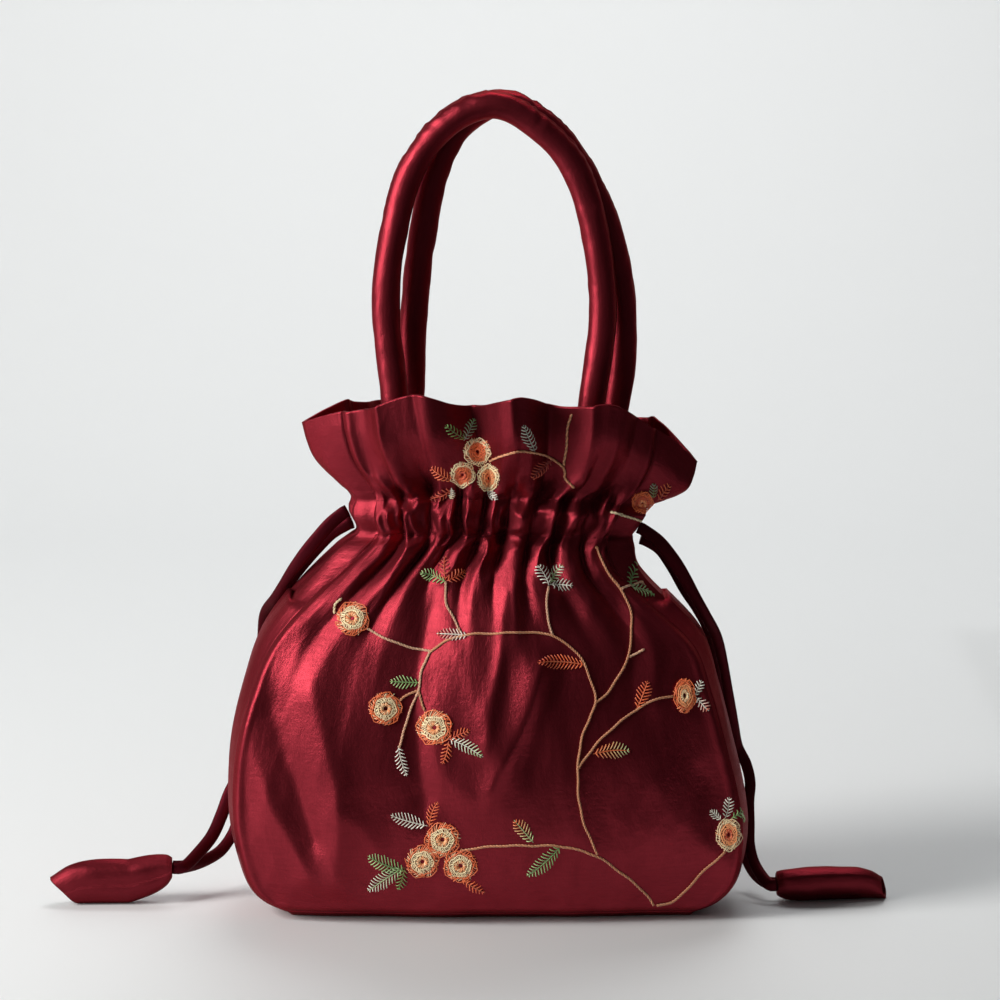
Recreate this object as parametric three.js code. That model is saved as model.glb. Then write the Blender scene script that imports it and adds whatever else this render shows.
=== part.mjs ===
// A drawstring evening bag of burgundy satin. Two shaped panels meet a narrow gusset that runs down one side, under
// the bag and up the other. A drawn channel gathers all three at the neck, and above it they flare into a ruffled
// collar. Two padded handles rise from the mouth, and two flat drawcords leave the channel at each side and end
// together in a soft tassel. Millimetres, +Z up, front towards -Y, origin under the middle of the bag, on the surface
// that it stands on.
import * as THREE from "three";

// Cloth
const wall = 1.4; // satin, interlining and facing together
const seamGap = 0.4; // between two sewn pieces, along the seam
const clearance = 0.3; // between a piece and what carries it

// Bag
const collarRim = 236; // surface to the rim at the front
const bellyHalfWidth = 114.5; // middle to the side seam at the belly
const gussetHalfDepth = 31; // middle to the side seam, front to back
const crownDepth = 18; // how far a panel swells beyond its side seams
const gussetSwell = 4; // how far the gusset swells beyond the seams at the belly
const seamLift = 4; // bottom seam above the surface
const leftRimDrop = 14.5; // rim's left tip below its front
const rightRimDrop = 33.5; // rim's right tip below its front
const gatherDepth = 3.4; // half the height of a gather at the channel
const fluteDepth = 7; // half the height of a flute at the rim
const fluteLift = 3.2; // how far the rim rises on a flute
const backRimDrop = 25; // rim's middle at the back below its front, where the collar falls open
const backRimLean = 9; // rim's middle at the back further out than its front
const rimDropPower = 3.2; // how late the rim falls towards its tips
const creaseEndPower = 6; // how late the creases die out towards the side seams
const creaseDepth = 3.2; // height of a full crease of the body

// Handles
const handleRadius = 6.1;
const handleFootHalfWidth = 8; // where it is sewn flat inside the channel
const handleFootHalfThickness = 3;
const handleHalfSpan = 48; // middle to the centreline, at the widest
const handleRise = 187; // foot to the crown of the arch
const handleSeat = 0.68; // how deep in the channel's valleys a foot lies, as a share of gatherDepth
const handleFlatUntil = 0.06; // share of handleRise below which it is as flat as at its foot
const handleRoundFrom = 0.26; // and above which it is round
const handlesMeetAt = 0.62; // share of handleRise at which the two handles lie against each other
const handleSides = 12;
const handleSteps = 26;

// Drawcords and tassels
const cordWidth = 6.5;
const cordThickness = 4;
const cordSteps = 18;
const tasselWall = 1.5;
const tasselLength = 49;
const tasselHalfHeight = 10;
const tasselHalfThickness = 6.5;
const tasselSides = 12;

// Sections of the bag from the bottom seam to the rim. height is a share of collarRim, seamX of bellyHalfWidth, seamY
// of gussetHalfDepth, crown of crownDepth, swell of gussetSwell. shift moves the section's middle to the right, as a
// share of bellyHalfWidth. peak is the gusset's roundness: 2 is round and 1 is a crease. gather and flute are shares
// of their full depths, and drop is the share of the rim's drop towards the sides.
const sectionColumns = ["height", "seamX", "seamY", "crown", "swell", "shift", "peak", "gather", "flute", "drop"];
const sectionRows = [
  [0.017, 0.78, 0.9, 0.28, 1.0, 0, 4, 0, 0, 0],
  [0.032, 0.865, 0.93, 0.44, 1.0, 0, 3, 0, 0, 0],
  [0.059, 0.925, 0.96, 0.61, 1.0, 0, 2.5, 0, 0, 0],
  [0.101, 0.962, 0.98, 0.78, 1.0, 0, 2, 0, 0, 0],
  [0.17, 0.987, 1.0, 0.94, 1.0, -0.007, 2, 0, 0, 0],
  [0.254, 0.979, 1.0, 1.0, 1.0, -0.023, 2, 0, 0, 0],
  [0.339, 0.946, 1.0, 1.0, 1.1, -0.037, 2, 0.03, 0, 0],
  [0.437, 0.89, 0.97, 0.97, 1.25, -0.039, 2, 0.09, 0, 0],
  [0.525, 0.823, 0.87, 0.92, 1.5, -0.036, 2, 0.2, 0, 0],
  [0.601, 0.68, 0.77, 0.83, 1.9, -0.05, 2, 0.42, 0, 0],
  [0.661, 0.556, 0.66, 0.72, 2.4, -0.05, 2, 0.72, 0, 0.05],
  [0.708, 0.48, 0.55, 0.61, 2.9, -0.02, 2, 0.95, 0, 0.12],
  [0.738, 0.456, 0.485, 0.55, 2.4, 0.009, 2, 1.0, 0, 0.17],
  [0.771, 0.476, 0.52, 0.6, 2.7, 0.015, 2, 0.95, 0, 0.2],
  [0.805, 0.485, 0.485, 0.55, 2.8, 0.032, 2, 1.0, 0, 0.25],
  [0.839, 0.53, 0.55, 0.72, 3.4, 0.04, 1.7, 0.7, 0.25, 0.4],
  [0.886, 0.58, 0.65, 0.94, 3.9, 0.04, 1.4, 0.3, 0.65, 0.65],
  [0.933, 0.61, 0.73, 1.11, 4.4, 0.038, 1.2, 0.1, 0.9, 0.85],
  [1.0, 0.632, 0.77, 1.22, 4.7, 0.034, 1.1, 0, 1.0, 1.0],
];
const shoulderRow = 9; // the section above which the gusset swells level instead of square to its seams
const footRow = 12; // the section where the handles are sewn

// Gathers across a panel, left to right. across is the crest's place as a share of the panel's half width, depth a
// share of gatherDepth, and reach says how slowly the gather dies out down the body: 1 is slow.
const gathers = [
  { across: -0.9, depth: 0.85, reach: 0.9 },
  { across: -0.66, depth: 1.1, reach: 1.0 },
  { across: -0.43, depth: 0.9, reach: 0.75 },
  { across: -0.22, depth: 0.8, reach: 0.45 },
  { across: -0.02, depth: 1.05, reach: 0.8 },
  { across: 0.2, depth: 1.0, reach: 0.9 },
  { across: 0.43, depth: 0.85, reach: 0.6 },
  { across: 0.66, depth: 1.15, reach: 1.0 },
  { across: 0.9, depth: 0.8, reach: 0.7 },
];
const seamGather = 0.8; // a gather's depth at a side seam, as a share of gatherDepth

// Flutes of the collar's front, left to right: the crest's place across the panel and its share of fluteDepth.
const flutes = [
  { across: -1.35, depth: 0.5 },
  { across: -0.5, depth: 1.1 },
  { across: 0.12, depth: 1.0 },
  { across: 0.66, depth: 0.9 },
  { across: 1.35, depth: 0.5 },
];

// Creases of the body: soft ridges, and valleys where the depth is negative. The ends are shares of bellyHalfWidth
// across and of collarRim up, width is a share of bellyHalfWidth and depth of creaseDepth.
const creaseColumns = ["fromAcross", "fromUp", "toAcross", "toUp", "width", "depth"];
const creaseRows = [
  [-0.21, 0.73, -0.52, 0.62, 0.055, 0.9],
  [-0.42, 0.7, -0.63, 0.57, 0.05, -0.8],
  [-0.5, 0.69, -0.76, 0.56, 0.055, 1.0],
  [-0.15, 0.64, -0.24, 0.26, 0.1, -1.1],
  [-0.65, 0.46, -0.6, 0.09, 0.11, 1.1],
  [-0.81, 0.41, -0.68, 0.17, 0.06, -0.9],
  [-0.92, 0.43, -0.74, 0.1, 0.06, 0.9],
  [0.2, 0.48, 0.04, 0.28, 0.05, 0.9],
  [0.11, 0.64, 0.03, 0.36, 0.06, 0.8],
  [0.54, 0.63, 0.6, 0.42, 0.06, -0.8],
  [0.62, 0.57, 0.68, 0.44, 0.06, 0.9],
  [0.83, 0.46, 0.87, 0.19, 0.09, -0.9],
];

// The gusset's points from the front seam to the back one, as shares of its half width.
const gussetStations = [-1, -0.75, -0.5, -0.25, 0, 0.25, 0.5, 0.75, 1];
const gussetFlat = 0.75; // the share of its half width that lies on the surface

// Handle routes. across is a share of handleHalfSpan and up a share of handleRise, from the left foot to the right.
const frontHandleRoute = [
  { across: -0.86, up: 0 },
  { across: -0.87, up: 0.14 },
  { across: -0.88, up: 0.31 },
  { across: -0.96, up: 0.52 },
  { across: -0.89, up: 0.7 },
  { across: -0.72, up: 0.85 },
  { across: -0.4, up: 0.957 },
  { across: 0, up: 1 },
  { across: 0.38, up: 0.96 },
  { across: 0.75, up: 0.86 },
  { across: 0.95, up: 0.7 },
  { across: 1.02, up: 0.51 },
  { across: 0.93, up: 0.3 },
  { across: 0.86, up: 0.14 },
  { across: 0.86, up: 0 },
];
const backHandleRoute = [
  { across: -0.82, up: 0 },
  { across: -0.77, up: 0.14 },
  { across: -0.74, up: 0.31 },
  { across: -0.71, up: 0.5 },
  { across: -0.64, up: 0.67 },
  { across: -0.5, up: 0.84 },
  { across: -0.27, up: 0.95 },
  { across: 0.1, up: 1 },
  { across: 0.5, up: 0.95 },
  { across: 0.82, up: 0.845 },
  { across: 1.08, up: 0.7 },
  { across: 1.21, up: 0.53 },
  { across: 1.2, up: 0.36 },
  { across: 1.06, up: 0.16 },
  { across: 0.92, up: 0 },
];

// Drawcord routes, from where each leaves the channel to its tassel, in millimetres.
const leftCordA = [
  [-64.2, -2.6, 181], [-71, -2.5, 175.5], [-77, -1, 168.5], [-83.5, 2, 160], [-90, 7, 150.5],
  [-96.8, 15, 138], [-101.8, 25, 128.5], [-104, 33, 115], [-106.5, 35.5, 100], [-107.5, 38, 85],
  [-109.5, 38, 70], [-113.5, 36, 56], [-119.5, 31, 44], [-123, 26, 35], [-127, 18, 27],
  [-133, 9, 21], [-139, 1.4, 16.7], [-144, 0.5, 16.5],
];
const leftCordB = [
  [-62.4, 2.6, 175], [-71, 5.5, 169.5], [-78.5, 8, 161.5], [-86, 12, 152], [-92.5, 18, 142.5],
  [-98, 27, 132], [-101, 38, 118], [-102.5, 41.5, 100], [-103.5, 43.5, 82], [-106, 43, 65],
  [-111, 40, 46], [-115.5, 36, 33], [-118.5, 32, 24.5], [-123, 27, 18.5], [-128, 21, 16],
  [-134, 13.5, 15], [-139, 6.7, 15.5], [-144, 6, 15.5],
];
const rightCordA = [
  [66, -2.6, 173.5], [74, -3.4, 167.8], [80, -4, 160.5], [85.5, -4, 152], [90.5, -3, 143],
  [95.8, 1, 133], [101.3, 10, 121], [105, 17, 106], [107.6, 22, 92], [110.3, 28, 77],
  [112.6, 34.5, 65], [116.5, 33, 57], [118.3, 30, 49], [117.6, 26, 41], [117.6, 21, 32],
  [117.6, 15.5, 23], [120, 10, 15], [125.3, 2.2, 8.7], [129.3, 1.5, 8.5],
];
const rightCordB = [
  [67.4, 2.6, 167.5], [75, 5.5, 162.5], [80.6, 8, 154.5], [86.8, 10, 143.5], [93.2, 15, 133.5],
  [98.6, 22, 122], [101, 29.5, 108], [103.5, 34, 93], [105.5, 38.5, 78], [106.5, 41, 64],
  [108.5, 40.5, 52], [110.5, 37.5, 41], [112, 34.8, 31], [114.6, 31, 21], [118, 23, 13],
  [121, 14.5, 9.5], [125, 8.3, 7.8], [129, 7, 7.5],
];

// Tassel sections from the neck to the mouth. along is a share of tasselLength, tall of tasselHalfHeight, thick of
// tasselHalfThickness.
const tasselSections = [
  { along: 0, tall: 0.45, thick: 0.8 },
  { along: 0.06, tall: 0.72, thick: 0.9 },
  { along: 0.2, tall: 0.92, thick: 1 },
  { along: 0.42, tall: 1, thick: 1 },
  { along: 0.7, tall: 1, thick: 0.94 },
  { along: 0.88, tall: 0.88, thick: 0.86 },
  { along: 1, tall: 0.6, thick: 0.72 },
];
const tasselHollowFrom = 2; // the section where its hollow ends
const tasselSettled = 0.4; // the share of its length in which it comes down from the cords to the surface

const satin = new THREE.MeshStandardMaterial({ color: 0x7b1830, roughness: 0.38, metalness: 0 });
const cordSatin = new THREE.MeshStandardMaterial({ color: 0x4a101c, roughness: 0.45, metalness: 0 });

const mix = (a, b, share) => a + (b - a) * share;

// The rows of a table as objects that hold each value under its column's name.
const named = (columns, rows) => rows.map((row) => Object.fromEntries(columns.map((column, i) => [column, row[i]])));
const sections = named(sectionColumns, sectionRows);
const creases = named(creaseColumns, creaseRows);

// The height of a row of folds at a place: +1 on a crest, -1 midway between two crests, times the depth there.
function foldHeight(crests, place) {
  let next = crests.findIndex((crest) => crest.across > place);
  if (next === -1) next = crests.length - 1;
  next = Math.max(next, 1);
  const before = crests[next - 1];
  const after = crests[next];
  const phase = THREE.MathUtils.clamp((place - before.across) / (after.across - before.across), 0, 1);
  return Math.cos(2 * Math.PI * phase) * mix(before.depth, after.depth, phase);
}

// The gathers with one more crest past each seam, so that a seam lies in a valley.
const firstGather = gathers[0];
const lastGather = gathers[gathers.length - 1];
const seamCrest = (gather, side) => ({
  across: 2 * side - gather.across,
  depth: 2 * seamGather - gather.depth,
  reach: gather.reach,
});
const gathersPastSeams = [seamCrest(firstGather, -1), ...gathers, seamCrest(lastGather, 1)];

// Four columns for each gather: its valley, rise, crest and fall.
function panelColumns() {
  const columns = [-1];
  for (let i = 1; i < gathersPastSeams.length - 1; i++) {
    const crest = gathersPastSeams[i].across;
    const valleyBefore = (gathersPastSeams[i - 1].across + crest) / 2;
    const valleyAfter = (gathersPastSeams[i + 1].across + crest) / 2;
    columns.push((valleyBefore + crest) / 2, crest, (crest + valleyAfter) / 2, valleyAfter);
  }
  return columns;
}

// How slowly the nearest gather dies out down the body.
function reachAt(place) {
  return gathers.reduce((a, b) => (Math.abs(b.across - place) < Math.abs(a.across - place) ? b : a)).reach;
}

// How far the body's creases move the cloth outwards at a point of the panel, seen from outside.
function creaseHeight(x, z) {
  const here = new THREE.Vector3(x, 0, z);
  return creases.reduce((height, crease) => {
    const from = new THREE.Vector3(bellyHalfWidth * crease.fromAcross, 0, collarRim * crease.fromUp);
    const to = new THREE.Vector3(bellyHalfWidth * crease.toAcross, 0, collarRim * crease.toUp);
    const nearest = new THREE.Line3(from, to).closestPointToPoint(here, true, new THREE.Vector3());
    const away = here.distanceTo(nearest) / (bellyHalfWidth * crease.width);
    return height + creaseDepth * crease.depth * Math.exp(-(away ** 2));
  }, 0);
}

// How far a section's folds move the cloth outwards at a place across the panel. Creases die out at the side seams.
function panelFold(section, place) {
  const share = section.gather > 0 ? section.gather ** (1 / reachAt(place)) : 0;
  const gathered = gatherDepth * share * foldHeight(gathersPastSeams, place);
  const fluted = fluteDepth * section.flute * foldHeight(flutes, place);
  const creased = creaseHeight(bellyHalfWidth * section.seamX * place, collarRim * section.height);
  const dying = 1 - place ** creaseEndPower;
  return gathered + fluted + creased * dying;
}

// The rim falls towards its two side tips.
function rimDrop(section, x) {
  const tip = bellyHalfWidth * section.seamX + gussetSwell * section.swell;
  const full = x < 0 ? leftRimDrop : rightRimDrop;
  return full * section.drop * Math.min(1, Math.abs(x) / tip) ** rimDropPower;
}

// A point of a panel's outer face. side is -1 at the front and 1 at the back, which is the front turned round.
function panelPoint(section, across, side) {
  const place = -side * across;
  const halfWidth = bellyHalfWidth * section.seamX;
  const crown = crownDepth * section.crown;
  const normal = new THREE.Vector2(2 * crown * across, side * halfWidth).normalize();
  const fold = panelFold(section, place);
  const x = halfWidth * across + normal.x * fold;
  const open = side > 0 ? section.flute * (1 - across ** 2) : 0;
  const y = side * (gussetHalfDepth * section.seamY + crown * (1 - across ** 2)) + backRimLean * open + normal.y * fold;
  const lift = fluteLift * section.flute * foldHeight(flutes, place);
  const z = collarRim * section.height + lift - rimDrop(section, x) - backRimDrop * open;
  return new THREE.Vector3(x + bellyHalfWidth * section.shift, y, z);
}

// All the outer points of the bag. The pieces share those on their seams, so they also share the direction in which
// the wall's thickness runs there.
const skin = [];
const addPoint = (point) => skin.push(point) - 1;

function panelGrid(side) {
  const columns = panelColumns().map((across) => -side * across);
  if (side > 0) columns.reverse();
  return sections.map((section) => columns.map((across) => addPoint(panelPoint(section, across, side))));
}

// The way out from the seam's line at a section, seen from the front, on the right-hand side.
function wayOut(row) {
  const below = sections[Math.max(row - 1, 0)];
  const above = sections[Math.min(row + 1, sections.length - 1)];
  const run = bellyHalfWidth * (above.seamX - below.seamX);
  const rise = collarRim * (above.height - below.height);
  return row < shoulderRow ? new THREE.Vector2(rise, -run).normalize() : new THREE.Vector2(1, 0);
}

// The gusset's points between a front seam point and a back one. side is -1 on the left and 1 on the right.
function sideStation(row, side, frontIndex, backIndex) {
  const section = sections[row];
  const out = wayOut(row);
  return gussetStations.map((station) => {
    if (station === -1) return frontIndex;
    if (station === 1) return backIndex;
    const seams = skin[frontIndex].clone().lerp(skin[backIndex], (station + 1) / 2);
    const swell = gussetSwell * section.swell * (1 - Math.abs(station) ** section.peak);
    const fold = -gatherDepth * section.gather * seamGather * Math.cos(2 * Math.PI * (station + 1));
    const seamX = side * bellyHalfWidth * section.seamX;
    const drop = rimDrop(section, seamX + side * swell) - rimDrop(section, seamX);
    const x = seams.x + side * (out.x * swell + fold);
    return addPoint(new THREE.Vector3(x, seams.y, Math.max(0, seams.z + out.y * swell - drop)));
  });
}

function bottomStation(frontIndex, backIndex) {
  return gussetStations.map((station) => {
    if (station === -1) return frontIndex;
    if (station === 1) return backIndex;
    const seams = skin[frontIndex].clone().lerp(skin[backIndex], (station + 1) / 2);
    const rise = Math.max(0, (Math.abs(station) - gussetFlat) / (1 - gussetFlat));
    return addPoint(new THREE.Vector3(seams.x, seams.y, seamLift * rise));
  });
}

const frontGrid = panelGrid(-1);
const backGrid = panelGrid(1);
const lastColumn = frontGrid[0].length - 1;
const rowsUp = sections.map((_, row) => row).slice(1);
const gussetGrid = [
  ...[...rowsUp].reverse().map((row) => sideStation(row, -1, frontGrid[row][0], backGrid[row][0])),
  ...frontGrid[0].map((frontIndex, column) => bottomStation(frontIndex, backGrid[0][column])),
  ...rowsUp.map((row) => sideStation(row, 1, frontGrid[row][lastColumn], backGrid[row][lastColumn])),
];

// The corners of each cell of a grid, in the order that faces out of the bag.
function cells(grid, turned) {
  const found = [];
  for (let row = 0; row < grid.length - 1; row++) {
    for (let column = 0; column < grid[row].length - 1; column++) {
      const cell = [[row, column], [row, column + 1], [row + 1, column + 1], [row + 1, column]];
      found.push(turned ? cell.reverse() : cell);
    }
  }
  return found;
}

const skinNormals = skin.map(() => new THREE.Vector3());
for (const [grid, turned] of [[frontGrid, false], [backGrid, true], [gussetGrid, false]]) {
  for (const cell of cells(grid, turned)) {
    const corners = cell.map(([row, column]) => grid[row][column]);
    const diagonalA = skin[corners[2]].clone().sub(skin[corners[0]]);
    const diagonalB = skin[corners[3]].clone().sub(skin[corners[1]]);
    const facing = diagonalA.cross(diagonalB);
    corners.forEach((corner) => skinNormals[corner].add(facing));
  }
}
skinNormals.forEach((normal) => normal.normalize());

// Draws a grid's edges back from its seams, towards its own middle.
function drawBack(points, rimRows) {
  const rows = points.length;
  const columns = points[0].length;
  const pull = (from, towards) => from.add(towards.clone().sub(from).setLength(seamGap / 2));
  for (let row = 0; row < rows; row++) {
    pull(points[row][0], points[row][1]);
    pull(points[row][columns - 1], points[row][columns - 2]);
  }
  if (rimRows.bottomSeam) for (let column = 0; column < columns; column++) pull(points[0][column], points[1][column]);
}

// A closed wall: the grid's outer face, the same face moved inwards by the wall's thickness, and the strip between.
function wallGeometry(grid, turned, rimRows) {
  const outer = grid.map((row) => row.map((index) => skin[index].clone()));
  const inner = grid.map((row) => row.map((index) => skin[index].clone().addScaledVector(skinNormals[index], -wall)));
  drawBack(outer, rimRows);
  drawBack(inner, rimRows);
  const rows = grid.length;
  const columns = grid[0].length;
  const positions = [...outer.flat(), ...inner.flat()].flatMap((point) => point.toArray());
  const outerAt = (row, column) => row * columns + column;
  const innerAt = (row, column) => rows * columns + row * columns + column;
  const faces = [];
  const quad = (a, b, c, d) => faces.push(a, b, c, a, c, d);
  for (const cell of cells(grid, turned)) {
    const [a, b, c, d] = cell;
    quad(outerAt(...a), outerAt(...b), outerAt(...c), outerAt(...d));
    quad(innerAt(...d), innerAt(...c), innerAt(...b), innerAt(...a));
  }
  const edge = [];
  for (let column = 0; column < columns - 1; column++) edge.push([0, column]);
  for (let row = 0; row < rows - 1; row++) edge.push([row, columns - 1]);
  for (let column = columns - 1; column > 0; column--) edge.push([rows - 1, column]);
  for (let row = rows - 1; row > 0; row--) edge.push([row, 0]);
  edge.forEach((here, i) => {
    const there = edge[(i + 1) % edge.length];
    const [from, to] = turned ? [there, here] : [here, there];
    quad(outerAt(...to), outerAt(...from), innerAt(...from), innerAt(...to));
  });
  return facedOut(positions, faces);
}

// A closed geometry from its points and faces, turned round if its faces point inwards.
function facedOut(positions, faces) {
  const at = (index) => new THREE.Vector3().fromArray(positions, index * 3);
  let volume = 0;
  for (let i = 0; i < faces.length; i += 3) volume += at(faces[i]).dot(at(faces[i + 1]).cross(at(faces[i + 2])));
  if (volume < 0) faces.reverse();
  const geometry = new THREE.BufferGeometry();
  geometry.setAttribute("position", new THREE.Float32BufferAttribute(positions, 3));
  geometry.setIndex(faces);
  return geometry;
}

// A closed body through a row of rings that have the same number of points, with both ends capped.
function loftGeometry(rings) {
  const sides = rings[0].length;
  const middle = (ring) => ring.reduce((sum, point) => sum.add(point), new THREE.Vector3()).divideScalar(sides);
  const points = [...rings.flat(), middle(rings[0]), middle(rings[rings.length - 1])];
  const faces = [];
  for (let side = 0; side < sides; side++) {
    const next = (side + 1) % sides;
    for (let ring = 0; ring < rings.length - 1; ring++) {
      const low = ring * sides;
      const high = low + sides;
      faces.push(low + side, low + next, high + next, low + side, high + next, high + side);
    }
    const last = (rings.length - 1) * sides;
    faces.push(rings.length * sides, next, side, rings.length * sides + 1, last + side, last + next);
  }
  return facedOut(points.flatMap((point) => point.toArray()), faces);
}

// An oval ring about a point, between two crossed directions.
function ovalRing(centre, across, acrossRadius, along, alongRadius, sides) {
  return Array.from({ length: sides }, (_, i) => {
    const angle = (2 * Math.PI * i) / sides;
    const ring = centre.clone().addScaledVector(across, acrossRadius * Math.cos(angle));
    return ring.addScaledVector(along, alongRadius * Math.sin(angle));
  });
}

// How far from the middle a handle's foot lies: flat against the valleys of the channel's inner side.
function footDepth(end, section) {
  const halfWidth = bellyHalfWidth * section.seamX;
  const crown = crownDepth * section.crown;
  const across = (handleHalfSpan * end.across - bellyHalfWidth * section.shift) / halfWidth;
  const slope = (2 * crown * across) / halfWidth;
  const inside = gussetHalfDepth * section.seamY + crown * (1 - across ** 2) - gatherDepth * handleSeat - wall;
  return inside - clearance - Math.hypot(handleFootHalfWidth * slope, handleFootHalfThickness);
}

// A handle stands inside one panel of the channel, flattened at its feet, and leans against the other at the top.
function handleGeometry(route, side) {
  const foot = sections[footRow];
  const footHeight = collarRim * foot.height;
  const footY = side * Math.min(footDepth(route[0], foot), footDepth(route[route.length - 1], foot));
  const crownY = side * (handleRadius + clearance / 2);
  const points = route.map(
    ({ across, up }) =>
      new THREE.Vector3(
        handleHalfSpan * across,
        mix(footY, crownY, Math.min(1, up / handlesMeetAt)),
        footHeight + handleRise * up,
      ),
  );
  const curve = new THREE.CatmullRomCurve3(points, false, "centripetal");
  const rings = [];
  for (let step = 0; step <= handleSteps; step++) {
    const share = step / handleSteps;
    const centre = curve.getPointAt(share);
    const tangent = curve.getTangentAt(share);
    const depth = new THREE.Vector3(0, 1, 0).addScaledVector(tangent, -tangent.y).normalize();
    const outward = depth.clone().cross(tangent);
    const up = (centre.z - footHeight) / handleRise;
    const round = THREE.MathUtils.smoothstep(up, handleFlatUntil, handleRoundFrom);
    const width = mix(handleFootHalfWidth, handleRadius, round);
    const thickness = mix(handleFootHalfThickness, handleRadius, round);
    rings.push(ovalRing(centre, outward, width, depth, thickness, handleSides));
  }
  return loftGeometry(rings);
}

// A flat cord: an eight-sided section drawn along its route.
function cordGeometry(route) {
  const section = new THREE.Shape();
  const sides = 8;
  for (let i = 0; i < sides; i++) {
    const angle = (2 * Math.PI * (i + 0.5)) / sides;
    const corner = [(cordThickness / 2) * Math.cos(angle), (cordWidth / 2) * Math.sin(angle)];
    if (i === 0) section.moveTo(...corner);
    else section.lineTo(...corner);
  }
  section.closePath();
  const curve = new THREE.CatmullRomCurve3(route.map((point) => new THREE.Vector3(...point)), false, "centripetal");
  return new THREE.ExtrudeGeometry(section, { steps: cordSteps, extrudePath: curve, bevelEnabled: false });
}

// A tassel lies on the surface with its neck at the cords' ends. It is hollow from its mouth. roll turns its flat
// section from standing on edge, 0, to lying flat, 90.
function tasselGeometry(neck, direction, roll) {
  const along = new THREE.Vector3(...direction).normalize();
  const level = new THREE.Vector3(0, 0, 1).cross(along).normalize();
  const turn = THREE.MathUtils.degToRad(roll);
  const tallWay = new THREE.Vector3(0, 0, 1).applyAxisAngle(along, turn);
  const thickWay = level.clone().applyAxisAngle(along, turn);
  const ring = (section, inset) => {
    const tall = tasselHalfHeight * section.tall;
    const thick = tasselHalfThickness * section.thick;
    const resting = Math.hypot(tall * tallWay.z, thick * thickWay.z);
    const centre = neck.clone().addScaledVector(along, tasselLength * section.along);
    centre.z = Math.max(resting, mix(neck.z, resting, Math.min(1, section.along / tasselSettled)));
    return ovalRing(centre, thickWay, thick - inset, tallWay, tall - inset, tasselSides);
  };
  const outside = tasselSections.map((section) => ring(section, 0));
  const inside = tasselSections.slice(tasselHollowFrom).reverse().map((section) => ring(section, tasselWall));
  return loftGeometry([...outside, ...inside]);
}

function piece(name, geometry, material) {
  const mesh = new THREE.Mesh(geometry, material);
  mesh.name = name;
  return mesh;
}

// A tassel's neck lies a clearance beyond the ends of its two cords, halfway between them.
function tasselNeck(routeA, routeB, side) {
  const endA = new THREE.Vector3(...routeA[routeA.length - 1]);
  const endB = new THREE.Vector3(...routeB[routeB.length - 1]);
  const neck = endA.add(endB).divideScalar(2);
  neck.x += side * (clearance + cordWidth / 8);
  return neck;
}

const bag = new THREE.Group();
bag.add(
  piece("front_panel", wallGeometry(frontGrid, false, { bottomSeam: true }), satin),
  piece("back_panel", wallGeometry(backGrid, true, { bottomSeam: true }), satin),
  piece("gusset", wallGeometry(gussetGrid, false, { bottomSeam: false }), satin),
  piece("front_handle", handleGeometry(frontHandleRoute, -1), satin),
  piece("back_handle", handleGeometry(backHandleRoute, 1), satin),
);

const cords = new THREE.Group();
cords.add(
  piece("left_drawcord_a", cordGeometry(leftCordA), cordSatin),
  piece("left_drawcord_b", cordGeometry(leftCordB), cordSatin),
  piece("right_drawcord_a", cordGeometry(rightCordA), cordSatin),
  piece("right_drawcord_b", cordGeometry(rightCordB), cordSatin),
  piece("left_tassel", tasselGeometry(tasselNeck(leftCordA, leftCordB, -1), [-1, -0.05, 0], 0), satin),
  piece("right_tassel", tasselGeometry(tasselNeck(rightCordA, rightCordB, 1), [1, 0.1, 0], 55), satin),
);

const group = new THREE.Group();
group.add(bag, cords);

// The bag itself, without its cords, stands over the middle of the frame.
const middle = new THREE.Box3().setFromObject(bag, true).getCenter(new THREE.Vector3());
group.position.set(-middle.x, -middle.y, 0);

export default group;
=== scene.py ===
import math

import bpy
import numpy as np
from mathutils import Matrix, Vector
from mathutils.bvhtree import BVHTree


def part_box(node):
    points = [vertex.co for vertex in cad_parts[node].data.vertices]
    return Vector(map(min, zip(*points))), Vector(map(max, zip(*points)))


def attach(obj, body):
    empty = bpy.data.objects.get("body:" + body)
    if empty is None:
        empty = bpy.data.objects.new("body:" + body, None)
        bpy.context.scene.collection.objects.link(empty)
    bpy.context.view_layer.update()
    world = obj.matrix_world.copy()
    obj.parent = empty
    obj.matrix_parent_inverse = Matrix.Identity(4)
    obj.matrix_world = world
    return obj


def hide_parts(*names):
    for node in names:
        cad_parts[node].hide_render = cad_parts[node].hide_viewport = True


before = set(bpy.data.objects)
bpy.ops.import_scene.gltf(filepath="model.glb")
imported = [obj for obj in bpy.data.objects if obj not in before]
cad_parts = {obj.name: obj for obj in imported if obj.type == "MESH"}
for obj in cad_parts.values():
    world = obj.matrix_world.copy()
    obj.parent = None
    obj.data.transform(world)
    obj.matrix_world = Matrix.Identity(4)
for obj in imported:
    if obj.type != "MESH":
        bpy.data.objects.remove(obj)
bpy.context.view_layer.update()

bl_info = {
    "name": "Drawstring Evening Bag",
    "version": (1, 0, 0),
    "blender": (4, 5, 0),
    "location": "View3D > Sidebar > Evening Bag",
    "description": "Builds a gathered satin evening bag with embroidered vines around its modelled frame",
    "category": "Object",
}

MM = 0.001
SETTLE_SCALE = 10
SETTLE_FRAMES = 34

# The bag's form: the same named sizes and tables as its pattern, in millimetres

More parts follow.
